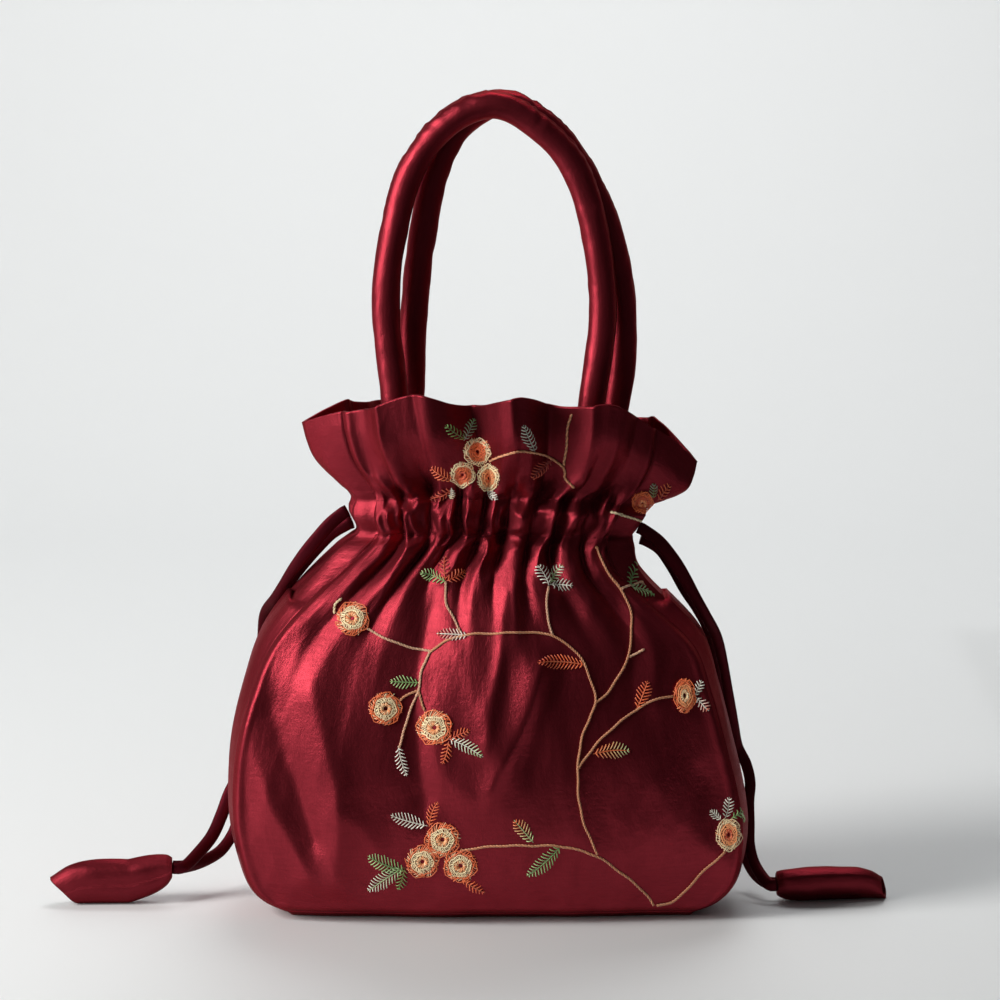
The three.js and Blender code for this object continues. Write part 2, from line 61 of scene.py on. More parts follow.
COLLAR_RIM = 236
BELLY_HALF_WIDTH = 114.5
GUSSET_HALF_DEPTH = 31
CROWN_DEPTH = 18
GUSSET_SWELL = 4
LEFT_RIM_DROP = 14.5
RIGHT_RIM_DROP = 33.5
BACK_RIM_DROP = 25
BACK_RIM_LEAN = 9
RIM_DROP_POWER = 3.2
GATHER_DEPTH = 3.4
FLUTE_DEPTH = 7
FLUTE_LIFT = 3.2
CREASE_DEPTH = 3.2
CREASE_END_POWER = 6
SEAM_GATHER = 0.8

# Sections from the bottom seam to the rim, as shares of the sizes above. peak is the gusset's roundness.
SECTION_COLUMNS = ("height", "seam_x", "seam_y", "crown", "swell", "shift", "peak", "gather", "flute", "drop")
SECTION_ROWS = (
    (0.017, 0.78, 0.9, 0.28, 1.0, 0, 4, 0, 0, 0),
    (0.032, 0.865, 0.93, 0.44, 1.0, 0, 3, 0, 0, 0),
    (0.059, 0.925, 0.96, 0.61, 1.0, 0, 2.5, 0, 0, 0),
    (0.101, 0.962, 0.98, 0.78, 1.0, 0, 2, 0, 0, 0),
    (0.17, 0.987, 1.0, 0.94, 1.0, -0.007, 2, 0, 0, 0),
    (0.254, 0.979, 1.0, 1.0, 1.0, -0.023, 2, 0, 0, 0),
    (0.339, 0.946, 1.0, 1.0, 1.1, -0.037, 2, 0.03, 0, 0),
    (0.437, 0.89, 0.97, 0.97, 1.25, -0.039, 2, 0.09, 0, 0),
    (0.525, 0.823, 0.87, 0.92, 1.5, -0.036, 2, 0.2, 0, 0),
    (0.601, 0.68, 0.77, 0.83, 1.9, -0.05, 2, 0.42, 0, 0),
    (0.661, 0.556, 0.66, 0.72, 2.4, -0.05, 2, 0.72, 0, 0.05),
    (0.708, 0.48, 0.55, 0.61, 2.9, -0.02, 2, 0.95, 0, 0.12),
    (0.738, 0.456, 0.485, 0.55, 2.4, 0.009, 2, 1.0, 0, 0.17),
    (0.771, 0.476, 0.52, 0.6, 2.7, 0.015, 2, 0.95, 0, 0.2),
    (0.805, 0.485, 0.485, 0.55, 2.8, 0.032, 2, 1.0, 0, 0.25),
    (0.839, 0.53, 0.55, 0.72, 3.4, 0.04, 1.7, 0.7, 0.25, 0.4),
    (0.886, 0.58, 0.65, 0.94, 3.9, 0.04, 1.4, 0.3, 0.65, 0.65),
    (0.933, 0.61, 0.73, 1.11, 4.4, 0.038, 1.2, 0.1, 0.9, 0.85),
    (1.0, 0.632, 0.77, 1.22, 4.7, 0.034, 1.1, 0, 1.0, 1.0),
)
SECTIONS = np.array(SECTION_ROWS, dtype=float)
LAST_ROW = len(SECTION_ROWS) - 1
SHOULDER_ROW = 9
BOTTOM_ROW_HEIGHT = 3.6
CHANNEL_FOOT = 160
LOWER_STITCH_ROW = 12
UPPER_STITCH_ROW = 14

# Gathers from left to right: the crest's place across, its depth, how far down it reaches, and how it
# wanders on the way.
GATHER_ROWS = (
    (-0.9, 0.85, 0.9, 0.03),
    (-0.66, 1.1, 1.0, 0.05),
    (-0.43, 0.9, 0.75, -0.03),
    (-0.22, 0.8, 0.45, 0.03),
    (-0.02, 1.05, 0.8, -0.02),
    (0.2, 1.0, 0.9, 0.04),
    (0.43, 0.85, 0.6, -0.03),
    (0.66, 1.15, 1.0, 0.03),
    (0.9, 0.8, 0.7, -0.02),
)

# Flutes of the collar: the crest's place and its share of the full depth.
FLUTE_ROWS = ((-1.35, 0.5), (-0.5, 1.1), (0.12, 1.0), (0.66, 0.9), (1.35, 0.5))

# Creases: three points of each line, as shares across and up, then its width, its depth and how much sharper
# its right-hand flank is. A negative depth is a valley.
CREASE_ROWS = (
    ((-0.2, 0.74), (-0.4, 0.69), (-0.52, 0.61), 0.055, 0.9, 0.6),
    ((-0.42, 0.7), (-0.54, 0.64), (-0.63, 0.57), 0.05, -0.8, 1.0),
    ((-0.5, 0.7), (-0.66, 0.64), (-0.77, 0.56), 0.055, 1.0, 0.7),
    ((-0.15, 0.64), (-0.25, 0.49), (-0.24, 0.26), 0.11, -1.5, 0.7),
    ((-0.65, 0.46), (-0.56, 0.27), (-0.6, 0.09), 0.13, 1.6, 0.5),
    ((-0.81, 0.41), (-0.74, 0.29), (-0.68, 0.17), 0.07, -1.3, 1.0),
    ((-0.92, 0.43), (-0.84, 0.26), (-0.7, 0.1), 0.07, 1.4, 0.7),
    ((0.22, 0.5), (0.16, 0.4), (0.02, 0.27), 0.085, 1.5, 0.5),
    ((0.11, 0.64), (0.07, 0.52), (0.02, 0.36), 0.06, 0.8, 0.6),
    ((0.54, 0.63), (0.56, 0.54), (0.6, 0.42), 0.06, -0.8, 1.0),
    ((0.62, 0.58), (0.66, 0.52), (0.66, 0.44), 0.06, 0.9, 0.7),
    ((0.83, 0.46), (0.87, 0.32), (0.86, 0.19), 0.09, -0.9, 1.0),
    ((-0.4, 0.84), (-0.44, 0.91), (-0.46, 1.0), 0.055, 1.8, 0.5),
    ((-0.27, 0.83), (-0.3, 0.91), (-0.33, 1.0), 0.06, -2.0, 0.8),
    ((-0.03, 0.84), (-0.08, 0.92), (-0.12, 1.0), 0.055, -1.7, 1.0),
    ((0.06, 0.84), (0.05, 0.92), (0.04, 1.0), 0.05, 1.6, 0.6),
    ((0.17, 0.84), (0.2, 0.91), (0.2, 1.0), 0.06, -1.7, 0.9),
    ((0.3, 0.84), (0.33, 0.92), (0.34, 1.0), 0.045, 1.6, 0.6),
    ((0.44, 0.83), (0.5, 0.91), (0.54, 1.0), 0.05, -1.4, 1.0),
    ((-0.5, 0.83), (-0.6, 0.88), (-0.66, 0.96), 0.035, 0.9, 0.7),
)

# Handles, drawcords and tassels, in millimetres

HANDLE_RADIUS = 6.1
HANDLE_FOOT_HALF_WIDTH = 8
HANDLE_FOOT_HALF_THICKNESS = 3
HANDLE_HALF_SPAN = 48
HANDLE_RISE = 187
HANDLE_CLEARANCE = 0.3
HANDLE_SEAT = 0.68
HANDLE_FLAT_UNTIL = 0.06
HANDLE_ROUND_FROM = 0.26
HANDLES_MEET_AT = 0.62
FOOT_ROW = 12

# A handle's route from its left foot to its right one: across as a share of the half span, up of the rise.
FRONT_HANDLE_ROUTE = (
    (-0.86, 0), (-0.87, 0.14), (-0.88, 0.31), (-0.96, 0.52), (-0.89, 0.7), (-0.72, 0.85), (-0.4, 0.957),
    (0, 1),
    (0.38, 0.96), (0.75, 0.86), (0.95, 0.7), (1.02, 0.51), (0.93, 0.3), (0.86, 0.14), (0.86, 0),
)
BACK_HANDLE_ROUTE = (
    (-0.82, 0), (-0.77, 0.14), (-0.74, 0.31), (-0.71, 0.5), (-0.64, 0.67), (-0.5, 0.84), (-0.27, 0.95),
    (0.1, 1),
    (0.5, 0.95), (0.82, 0.845), (1.08, 0.7), (1.21, 0.53), (1.2, 0.36), (1.06, 0.16), (0.92, 0),
)

CORD_ROUTES = {
    "left_drawcord_a": (
        (-64.2, -2.6, 181), (-71, -2.5, 175.5), (-77, -1, 168.5), (-83.5, 2, 160), (-90, 7, 150.5),
        (-96.8, 15, 138), (-101.8, 25, 128.5), (-104, 33, 115), (-106.5, 35.5, 100), (-107.5, 38, 85),
        (-109.5, 38, 70), (-113.5, 36, 56), (-119.5, 31, 44), (-123, 26, 35), (-127, 18, 27), (-133, 9, 21),
        (-139, 1.4, 16.7), (-144, 0.5, 16.5),
    ),
    "left_drawcord_b": (
        (-62.4, 2.6, 175), (-71, 5.5, 169.5), (-78.5, 8, 161.5), (-86, 12, 152), (-92.5, 18, 142.5),
        (-98, 27, 132), (-101, 38, 118), (-102.5, 41.5, 100), (-103.5, 43.5, 82), (-106, 43, 65),
        (-111, 40, 46), (-115.5, 36, 33), (-118.5, 32, 24.5), (-123, 27, 18.5), (-128, 21, 16),
        (-134, 13.5, 15), (-139, 6.7, 15.5), (-144, 6, 15.5),
    ),
    "right_drawcord_a": (
        (66, -2.6, 173.5), (74, -3.4, 167.8), (80, -4, 160.5), (85.5, -4, 152), (90.5, -3, 143),
        (95.8, 1, 133), (101.3, 10, 121), (105, 17, 106), (107.6, 22, 92), (110.3, 28, 77), (112.6, 34.5, 65),
        (116.5, 33, 57), (118.3, 30, 49), (117.6, 26, 41), (117.6, 21, 32), (117.6, 15.5, 23), (120, 10, 15),
        (125.3, 2.2, 8.7), (129.3, 1.5, 8.5),
    ),
    "right_drawcord_b": (
        (67.4, 2.6, 167.5), (75, 5.5, 162.5), (80.6, 8, 154.5), (86.8, 10, 143.5), (93.2, 15, 133.5),
        (98.6, 22, 122), (101, 29.5, 108), (103.5, 34, 93), (105.5, 38.5, 78), (106.5, 41, 64),
        (108.5, 40.5, 52), (110.5, 37.5, 41), (112, 34.8, 31), (114.6, 31, 21), (118, 23, 13),
        (121, 14.5, 9.5), (125, 8.3, 7.8), (129, 7, 7.5),
    ),
}
CORD_WIDTH = 6.5
CORD_THICKNESS = 3.2
CORD_TUCK = 0.6
TASSEL_LENGTH = 49
TASSEL_HALF_HEIGHT = 10
TASSEL_HALF_THICKNESS = 6.5
TASSEL_WALL = 0.9
TASSEL_SETTLED = 0.4
TASSEL_ROWS = (
    (0, 0.45, 0.8), (0.06, 0.72, 0.9), (0.2, 0.92, 1), (0.42, 1, 1), (0.7, 1, 0.94), (0.88, 0.88, 0.86),
    (1, 0.6, 0.72),
)

# The photograph's view

PICTURE_SIDE = 1000  # pixels
PIXEL = 0.4455  # millimetres at the bag
GROUND_PIXEL = 912  # height of the ground under the bag
GROUND_TRIM_PIXELS = 8  # what the perspective adds under the bag
MIDDLE_PIXEL = 491  # middle of the bag
VIEW_ELEVATION = 10.0
VIEW_DISTANCE = 1.9
SENSOR = 36.0
FLOOR_REACH = 9.0

# Threads and stitches

SEAM_TURN = 1.6  # length on the gusset of a thread drawn past the seam, as a share of what is drawn
THREAD_SIDES = 5
STITCH_SPACING = 1.35  # from one stitch to the next, as a share of a stitch's length

# The weave's map on the cloth, in metres

PANEL_MAP_HALF_WIDTH = 0.155
PANEL_MAP_HEIGHT = 0.27
GUSSET_MAP_WIDTH = 0.07
GUSSET_MAP_LENGTH = 0.7

# Embroidery, drawn in the photograph's pixels

THREADS = {
    "vine": (0.66, 0.28, 0.13),
    "pale_vine": (0.74, 0.42, 0.26),
    "rust": (0.62, 0.08, 0.025),
    "orange": (0.86, 0.17, 0.045),
    "apricot": (0.92, 0.36, 0.14),
    "cream": (0.95, 0.76, 0.46),
    "white": (0.92, 0.9, 0.78),
    "grey": (0.46, 0.44, 0.36),
    "green": (0.2, 0.38, 0.11),
    "pale_green": (0.42, 0.58, 0.26),
    "olive": (0.2, 0.22, 0.05),
    "red": (0.38, 0.03, 0.02),
}

VINES = (
    ("vine", ((430, 651), (447, 640), (468, 634), (496, 633), (520, 632), (541, 633), (552, 635), (566, 644),
              (578, 654), (585, 667), (592, 686), (595, 702), (589, 717), (582, 735), (578, 756), (577, 777),
              (578, 798), (582, 819), (589, 837), (597, 854))),
    ("pale_vine", ((445, 581), (446, 602), (451, 614), (461, 632))),
    ("pale_vine", ((552, 635), (547, 616), (546, 602), (548, 586))),
    ("pale_vine", ((430, 651), (411, 647), (390, 640), (366, 628))),
    ("pale_vine", ((430, 651), (422, 668), (418, 690), (408, 714), (401, 739), (398, 747))),
    ("vine", ((417, 690), (406, 695), (399, 700))),
    ("vine", ((418, 690), (422, 703), (425, 710))),
    ("cream", ((341, 598), (335, 604), (334, 613))),
    ("vine", ((461, 850), (478, 847), (503, 845), (531, 845), (552, 845), (573, 848), (597, 856), (615, 868),
              (632, 881), (646, 894), (653, 905))),
    ("vine", ((656, 905), (671, 901), (685, 890), (699, 874), (725, 851))),
    ("vine", ((673, 696), (657, 698), (636, 709), (615, 725), (597, 742), (583, 760), (578, 768))),
    ("vine", ((595, 702), (608, 691), (618, 675), (627, 658), (630, 640), (631, 616), (624, 595), (611, 577),
              (601, 560), (596, 546))),
    ("pale_vine", ((628, 656), (636, 653), (644, 649))),
    ("pale_vine", ((620, 588), (632, 584), (646, 577), (657, 575))),
    ("vine", ((489, 461), (504, 454), (518, 451), (534, 452), (549, 457), (561, 464), (565, 470), (565, 478),
              (574, 487))),
    ("vine", ((571, 414), (568, 426), (566, 449), (564, 465))),
    ("cream", ((610, 512), (621, 514), (628, 516), (641, 521))),
)

# Roses: centre, half width, half height, then the colours of the rim, the ring and the heart.
ROSES = (
    ((352, 618), 17.5, 17.5, "orange", "cream", "apricot"),
    ((385, 708), 17, 17, "orange", "cream", "apricot"),
    ((434, 727), 18.5, 18, "orange", "cream", "apricot"),
    ((442, 839), 18, 17.5, "orange", "cream", "apricot"),
    ((422, 861), 17.5, 17, "orange", "cream", "apricot"),
    ((460, 865), 17.5, 17, "orange", "cream", "apricot"),
    ((684, 695), 11.5, 17.5, "orange", "apricot", "cream"),
    ((728, 834), 13, 17, "cream", "apricot", "rust"),
    ((477, 451), 14.5, 14.5, "cream", "orange", "orange"),
    ((462, 474), 13, 13, "cream", "orange", "rust"),
    ((488, 477), 12, 14.5, "cream", "apricot", "orange"),
    ((642, 502), 11.5, 11.5, "orange", "rust", "apricot"),
)

# Leaves: foot, tip, half width as a share of the length, and the colours at the foot and at the tip.
LEAVES = (
    ((445, 581), (420, 572), 0.24, "green", "pale_green"),
    ((445, 579), (445, 556), 0.24, "rust", "red"),
    ((447, 580), (465, 571), 0.3, "rust", "orange"),
    ((467, 635), (437, 633), 0.2, "white", "rust"),
    ((548, 584), (537, 565), 0.3, "white", "white"),
    ((550, 584), (572, 585), 0.28, "white", "grey"),
    ((550, 582), (562, 565), 0.3, "pale_green", "white"),
    ((583, 664), (538, 662), 0.16, "orange", "rust"),
    ((418, 682), (390, 681), 0.22, "green", "pale_green"),
    ((398, 747), (406, 775), 0.2, "white", "white"),
    ((449, 739), (469, 730), 0.25, "rust", "orange"),
    ((450, 739), (482, 756), 0.17, "white", "pale_green"),
    ((448, 742), (442, 763), 0.25, "orange", "rust"),
    ((425, 825), (391, 815), 0.2, "white", "grey"),
    ((429, 825), (437, 802), 0.24, "orange", "rust"),
    ((403, 870), (368, 856), 0.22, "green", "pale_green"),
    ((401, 868), (368, 890), 0.2, "pale_green", "white"),
    ((404, 868), (398, 889), 0.26, "olive", "green"),
    ((462, 879), (484, 892), 0.2, "orange", "rust"),
    ((532, 841), (514, 820), 0.26, "pale_green", "orange"),
    ((559, 847), (527, 875), 0.18, "green", "pale_green"),
    ((694, 695), (701, 680), 0.3, "grey", "white"),
    ((696, 697), (708, 710), 0.3, "white", "rust"),
    ((637, 707), (647, 681), 0.26, "orange", "rust"),
    ((594, 753), (629, 750), 0.22, "orange", "pale_green"),
    ((725, 817), (729, 797), 0.28, "grey", "white"),
    ((720, 819), (710, 810), 0.32, "white", "grey"),
    ((732, 817), (747, 809), 0.28, "green", "pale_green"),
    ((632, 584), (640, 560), 0.26, "green", "pale_green"),
    ((632, 585), (658, 589), 0.24, "pale_green", "green"),
    ((464, 438), (445, 425), 0.24, "olive", "green"),
    ((464, 439), (474, 418), 0.24, "grey", "green"),
    ((451, 479), (431, 467), 0.26, "orange", "rust"),
    ((450, 489), (430, 499), 0.22, "rust", "red"),
    ((451, 488), (451, 498), 0.35, "white", "cream"),
    ((489, 490), (496, 499), 0.35, "white", "white"),
    ((534, 450), (523, 425), 0.22, "grey", "white"),
    ((551, 460), (531, 478), 0.22, "red", "rust"),
    ((652, 497), (653, 483), 0.3, "olive", "grey"),
    ((658, 499), (669, 484), 0.3, "rust", "orange"),
)


# Sizes and colours that a user would change


class EveningBagSizes(bpy.types.PropertyGroup):
    wall: bpy.props.FloatProperty(
        name="Cloth thickness", description="Thickness of the faced satin", default=1.2 * MM, min=0.0,
        unit="LENGTH",
    )
    wrinkle: bpy.props.FloatProperty(
        name="Wrinkle height", description="Height of the fine wrinkles of the satin", default=0.55 * MM,
        unit="LENGTH",
    )
    seam_groove: bpy.props.FloatProperty(
        name="Seam groove", description="How far the cloth dips in at a side seam", default=1.3 * MM,
        unit="LENGTH",
    )
    thread: bpy.props.FloatProperty(
        name="Embroidery thread", description="Thickness of an embroidery thread", default=0.42 * MM,
        unit="LENGTH",
    )
    stitch: bpy.props.FloatProperty(
        name="Stitch length", description="Length of a stitch of the channel's two seams", default=2.4 * MM,
        unit="LENGTH",
    )


class EveningBagColours(bpy.types.PropertyGroup):
    satin: bpy.props.FloatVectorProperty(
        name="Satin", description="Colour of the satin", subtype="COLOR", size=3, min=0, max=1,
        default=(0.31, 0.028, 0.042),
    )
    satin_dark: bpy.props.FloatVectorProperty(
        name="Satin shade", description="Colour of the satin across its weave", subtype="COLOR", size=3,
        min=0, max=1, default=(0.115, 0.01, 0.015),
    )
    # Painted shade: the drawcords' colour is the satin's red darkened almost to black, for cords that lie on
    # the bag's shaded sides.
    cord: bpy.props.FloatVectorProperty(
        name="Drawcord", description="Colour of the drawcords", subtype="COLOR", size=3, min=0, max=1,
        default=(0.09, 0.007, 0.013),
    )
    floor: bpy.props.FloatVectorProperty(
        name="Surface", description="Colour of the surface and backdrop", subtype="COLOR", size=3,
        min=0, max=1, default=(0.8, 0.815, 0.82),
    )


class EveningBagLight(bpy.types.PropertyGroup):
    key: bpy.props.FloatProperty(
        name="Key light", description="Power of the large light at the upper left", default=34.0, unit="POWER"
    )
    fill: bpy.props.FloatProperty(
        name="Back light", description="Power of the light on the surface and the backdrop", default=12.6,
        unit="POWER",
    )
    surround: bpy.props.FloatProperty(
        name="Surround", description="Strength of the pale room around the bag", default=0.09
    )


# Form of the cloth

SETTLED = []


def smooth_rows(table, at):
    """The columns of a table at fractional rows, on a smooth curve through its rows."""
    last = len(table) - 1
    row = np.clip(np.floor(at).astype(int), 0, last - 1)
    part = (at - row)[..., None]
    before = table[np.maximum(row - 1, 0)]
    here = table[row]
    after = table[row + 1]
    beyond = table[np.minimum(row + 2, last)]
    slope = after - before
    bend = 2 * before - 5 * here + 4 * after - beyond
    turn = 3 * here - before - 3 * after + beyond
    return 0.5 * (2 * here + slope * part + bend * part**2 + turn * part**3)


def section_at(rows):
    """Each column of the sections at fractional rows, shaped for a grid of rows by columns."""
    values = smooth_rows(SECTIONS, np.asarray(rows, dtype=float))
    section = {name: values[..., i] for i, name in enumerate(SECTION_COLUMNS)}
    for name in ("gather", "flute", "drop"):
        section[name] = np.clip(section[name], 0, None)
    return section


def value_noise(x, y, seed):
    """Smooth noise between -1 and 1 over a plane, one cell a unit."""
    lattice = np.random.default_rng(seed).uniform(-1, 1, (64, 64))
    column = np.floor(x).astype(int)
    row = np.floor(y).astype(int)
    s = x - column
    t = y - row
    s = s * s * (3 - 2 * s)
    t = t * t * (3 - 2 * t)
    a = lattice[row % 64, column % 64]
    b = lattice[row % 64, (column + 1) % 64]
    c = lattice[(row + 1) % 64, column % 64]
    d = lattice[(row + 1) % 64, (column + 1) % 64]
    return (a * (1 - s) + b * s) * (1 - t) + (c * (1 - s) + d * s) * t


def crest_table():
    """The gathers with one more crest past each side seam, so that a seam lies in a valley."""
    rows = [list(row) for row in GATHER_ROWS]
    first = [-2 - rows[0][0], 2 * SEAM_GATHER - rows[0][1], rows[0][2], rows[0][3]]
    last = [2 - rows[-1][0], 2 * SEAM_GATHER - rows[-1][1], rows[-1][2], rows[-1][3]]
    return np.array([first, *rows, last])


def gather_height(section, rows, place):
    """Height of the gathers: puffed crests and sharp valleys at the channel, soft waves further away.

    The folds below the channel, inside it and above it have crests of their own, which meet at its two stitch
    lines.
    """
    crests = crest_table()
    count_of_crests = len(crests)
    random = np.random.default_rng(17)
    inside = random.uniform(-0.3, 0.3, count_of_crests)
    above = random.uniform(-0.3, 0.3, count_of_crests)
    height = np.zeros_like(place)
    for i, row in enumerate(rows):
        share = section["gather"][i]
        if share <= 0.002:
            continue
        below = max(0, LOWER_STITCH_ROW - row)
        past = max(0, row - UPPER_STITCH_ROW)
        along_channel = (row - LOWER_STITCH_ROW) / (UPPER_STITCH_ROW - LOWER_STITCH_ROW)
        in_channel = math.sin(math.pi * along_channel) if 0 < along_channel < 1 else 0
        lines = crests[:, 0] + crests[:, 3] * np.sin(0.9 * below)
        warp = 0.05 * value_noise(place[i] * 4 + 20, np.full_like(place[i], 20 + 0.35 * row), 5)
        warp = warp * (1 - place[i] ** 2)
        at = place[i] + warp * min(1, below + past)
        count = np.interp(at, lines, np.arange(count_of_crests))
        depth = np.interp(at, lines, crests[:, 1])
        reach = np.interp(at, lines, crests[:, 2])
        local = share ** (1.0 / reach)
        shifted = count + np.interp(at, lines, inside) * in_channel
        shifted = shifted + np.interp(at, lines, above) * min(1, past / 1.2)
        soft = np.cos(2 * np.pi * shifted)
        puffed = 2 * np.abs(np.cos(np.pi * shifted)) ** 0.7 - 1
        stitched = math.exp(-((below / 0.55) ** 2)) * math.exp(-((past / 0.4) ** 2)) * (1 - in_channel)
        near = math.exp(-((below / 1.3) ** 2)) * math.exp(-((past / 0.9) ** 2))
        level = np.full_like(at, 20 + 0.55 * row)
        small = 0.6 - 2 * np.abs(value_noise(count * 1.9 + 20, level, 6))
        tiny = 0.6 - 2 * np.abs(value_noise(count * 3.7 + 20, level * 1.7, 7))
        height[i] = local * depth * (soft * (1 - share) + 1.15 * puffed * share) * (1 - 0.3 * stitched)
        height[i] += share * ((0.42 + 0.2 * near) * small + 0.42 * near * tiny) + 0.35 * in_channel
    return GATHER_DEPTH * height


def flute_height(place):
    """Height of the collar's flutes at a place across the panel."""
    crests = np.array(FLUTE_ROWS)
    count = np.interp(place, crests[:, 0], np.arange(len(crests)))
    depth = np.interp(place, crests[:, 0], crests[:, 1])
    return np.cos(2 * np.pi * count) * depth


def crease_height(x, z):
    """Height of the creases at points of a panel seen from outside."""
    total = np.zeros_like(x)
    for start, middle, end, width, depth, sharp in CREASE_ROWS:
        line = np.array([start, middle, end]) * (BELLY_HALF_WIDTH, COLLAR_RIM)
        turns = np.linspace(0, 2, 9)
        path = smooth_rows(line, turns)
        nearest = np.full(x.shape, np.inf)
        flank = np.zeros_like(x)
        for a, b in zip(path[:-1], path[1:]):
            run = b - a
            share = np.clip(((x - a[0]) * run[0] + (z - a[1]) * run[1]) / (run @ run), 0, 1)
            dx = x - (a[0] + share * run[0])
            dz = z - (a[1] + share * run[1])
            away = np.hypot(dx, dz)
            closer = away < nearest
            nearest = np.where(closer, away, nearest)
            flank = np.where(closer, dx, flank)
        right = 0.5 + 0.5 * flank / np.maximum(nearest, 1e-6)
        reach = BELLY_HALF_WIDTH * width * (1.15 + (sharp - 1.15) * right)
        total += CREASE_DEPTH * depth * np.exp(-((nearest / reach) ** 1.35))
    return total


def rim_drop(section, x):
    """How far the rim falls towards its side tips."""
    tip = BELLY_HALF_WIDTH * section["seam_x"] + GUSSET_SWELL * section["swell"]
    full = np.where(x < 0, LEFT_RIM_DROP, RIGHT_RIM_DROP)
    return full * section["drop"] * np.minimum(1, np.abs(x) / tip) ** RIM_DROP_POWER


def panel_surface(side, across, rows, sizes):
    """Outer points of a panel, in millimetres, as rows by columns. The back is the front turned round."""
    section = {name: values[:, None] for name, values in section_at(rows).items()}
    u = np.broadcast_to(across, (len(rows), len(across)))
    place = -side * u
    half_width = BELLY_HALF_WIDTH * section["seam_x"]
    crown = CROWN_DEPTH * section["crown"]
    out = np.stack([2 * crown * u, side * np.broadcast_to(half_width, u.shape)], -1)
    out /= np.linalg.norm(out, axis=-1, keepdims=True)
    x_flat = half_width * place
    z_flat = COLLAR_RIM * section["height"] * np.ones_like(u)
    flat_section = {name: values[:, 0] for name, values in section.items()}
    fold = gather_height(flat_section, rows, place)
    flute = flute_height(place)
    fold += FLUTE_DEPTH * section["flute"] * flute
    fold += crease_height(x_flat, z_flat) * (1 - np.abs(place) ** CREASE_END_POWER)
    fold += fine_wrinkles(x_flat, z_flat, section, sizes)
    from_side = (1 - np.abs(u)) * half_width
    from_bottom = np.asarray(rows)[:, None] * BOTTOM_ROW_HEIGHT + 0 * u
    from_seam = np.where(z_flat > CHANNEL_FOOT, from_side, np.minimum(from_side, from_bottom))
    groove = sizes.seam_groove / MM
    ridge = 0.6 * np.exp(-(((from_seam - 3.4) / 1.6) ** 2))
    fold += groove * (ridge - 1.3 * np.exp(-((from_seam / 1.2) ** 2)))
    x = half_width * u + out[..., 0] * fold
    open_back = section["flute"] * (1 - u**2) if side > 0 else 0
    y = side * (GUSSET_HALF_DEPTH * section["seam_y"] + crown * (1 - u**2)) + out[..., 1] * fold
    y = y + BACK_RIM_LEAN * open_back
    z = z_flat + FLUTE_LIFT * section["flute"] * flute - rim_drop(section, x) - BACK_RIM_DROP * open_back
    return np.stack([x + BELLY_HALF_WIDTH * section["shift"], y, z], -1)


def fine_wrinkles(x, z, section, sizes):
    """Small wrinkles that run down from the neck, and a slow unevenness of the filled belly."""
    seed = 11
    spread = np.maximum(0.4, section["seam_x"])
    fan = x / spread
    streaks = value_noise(fan / 9 + 20, z / 46 + 20, seed)
    streaks = streaks + 0.5 * value_noise(fan / 4.5 + 20, z / 30 + 20, seed + 1)
    belly = value_noise(x / 26 + 20, z / 34 + 20, seed + 2)
    slant = value_noise((x + 0.6 * z) / 15 + 40, (z - 0.6 * x) / 60 + 40, seed + 3)
    sharp = 0.5 - 2 * np.abs(value_noise((x + 0.35 * z) / 24 + 40, (z - 0.2 * x) / 42 + 40, seed + 4))
    finer = 0.5 - 2 * np.abs(value_noise((x - 0.3 * z) / 11 + 40, (z + 0.4 * x) / 21 + 40, seed + 5))
    pull = 0.35 + 1.5 * section["gather"] + 0.6 * section["flute"]
    return sizes.wrinkle / MM * (streaks * pull + 1.2 * belly + 0.7 * slant + 1.5 * sharp + 0.55 * finer)


def way_out(row):
    """The way out from the seam's line in the front view, on the right-hand side."""
    if row >= SHOULDER_ROW:
        return 1.0, 0.0
    low = section_at([max(row - 0.5, 0)])
    high = section_at([row + 0.5])
    run = BELLY_HALF_WIDTH * (high["seam_x"][0] - low["seam_x"][0])
    rise = COLLAR_RIM * (high["height"][0] - low["height"][0])
    length = math.hypot(run, rise)
    return rise / length, -run / length


def gusset_surface(front, back, rows, stations):
    """Outer points of the gusset, from its left rim under the bag to its right: a row for each seam point."""
    strips = []
    t = np.asarray(stations)
    share = (t[:, None] + 1) / 2
    section_all = section_at(rows)
    down, under, up = range(len(rows) - 1, 0, -1), range(front.shape[1]), range(1, len(rows))
    for side, order in ((-1, down), (0, under), (1, up)):
        for i in order:
            if side == 0:
                a, b = front[0, i], back[0, i]
                strip = a + (b - a) * share
                rise = np.maximum(0, (np.abs(t) - 0.75) / 0.25)
                strip[:, 2] = a[2] * rise
            else:
                column = 0 if side < 0 else -1
                a, b = front[i, column], back[i, column]
                section = {name: values[i] for name, values in section_all.items()}
                out_x, out_z = way_out(rows[i])
                bow = GUSSET_SWELL * section["swell"] * (1 - np.abs(t) ** section["peak"])
                pleat = -GATHER_DEPTH * section["gather"] * SEAM_GATHER * np.cos(2 * np.pi * (t + 1))
                level = np.full_like(t, 20 + 0.22 * rows[i])
                ruffle = 0.4 - 1.5 * np.abs(value_noise(3.1 * t + 20, level, 51 + side))
                ruffle = ruffle + 0.4 * value_noise(7 * t + 20, 2.5 * level, 53 + side)
                ruffle = ruffle * (1 - np.exp(-((t / 0.3) ** 2)))
                pleat = pleat + GATHER_DEPTH * (0.15 + 0.95 * section["gather"]) * ruffle * (1 - t**8)
                seam_x = side * BELLY_HALF_WIDTH * section["seam_x"]
                drop = rim_drop(section, seam_x + side * bow) - rim_drop(section, np.full_like(bow, seam_x))
                strip = a + (b - a) * share
                strip[:, 0] += side * (out_x * bow + pleat)
                strip[:, 2] = np.maximum(0, strip[:, 2] + out_z * bow - drop)
            strips.append(strip)
    return np.array(strips)


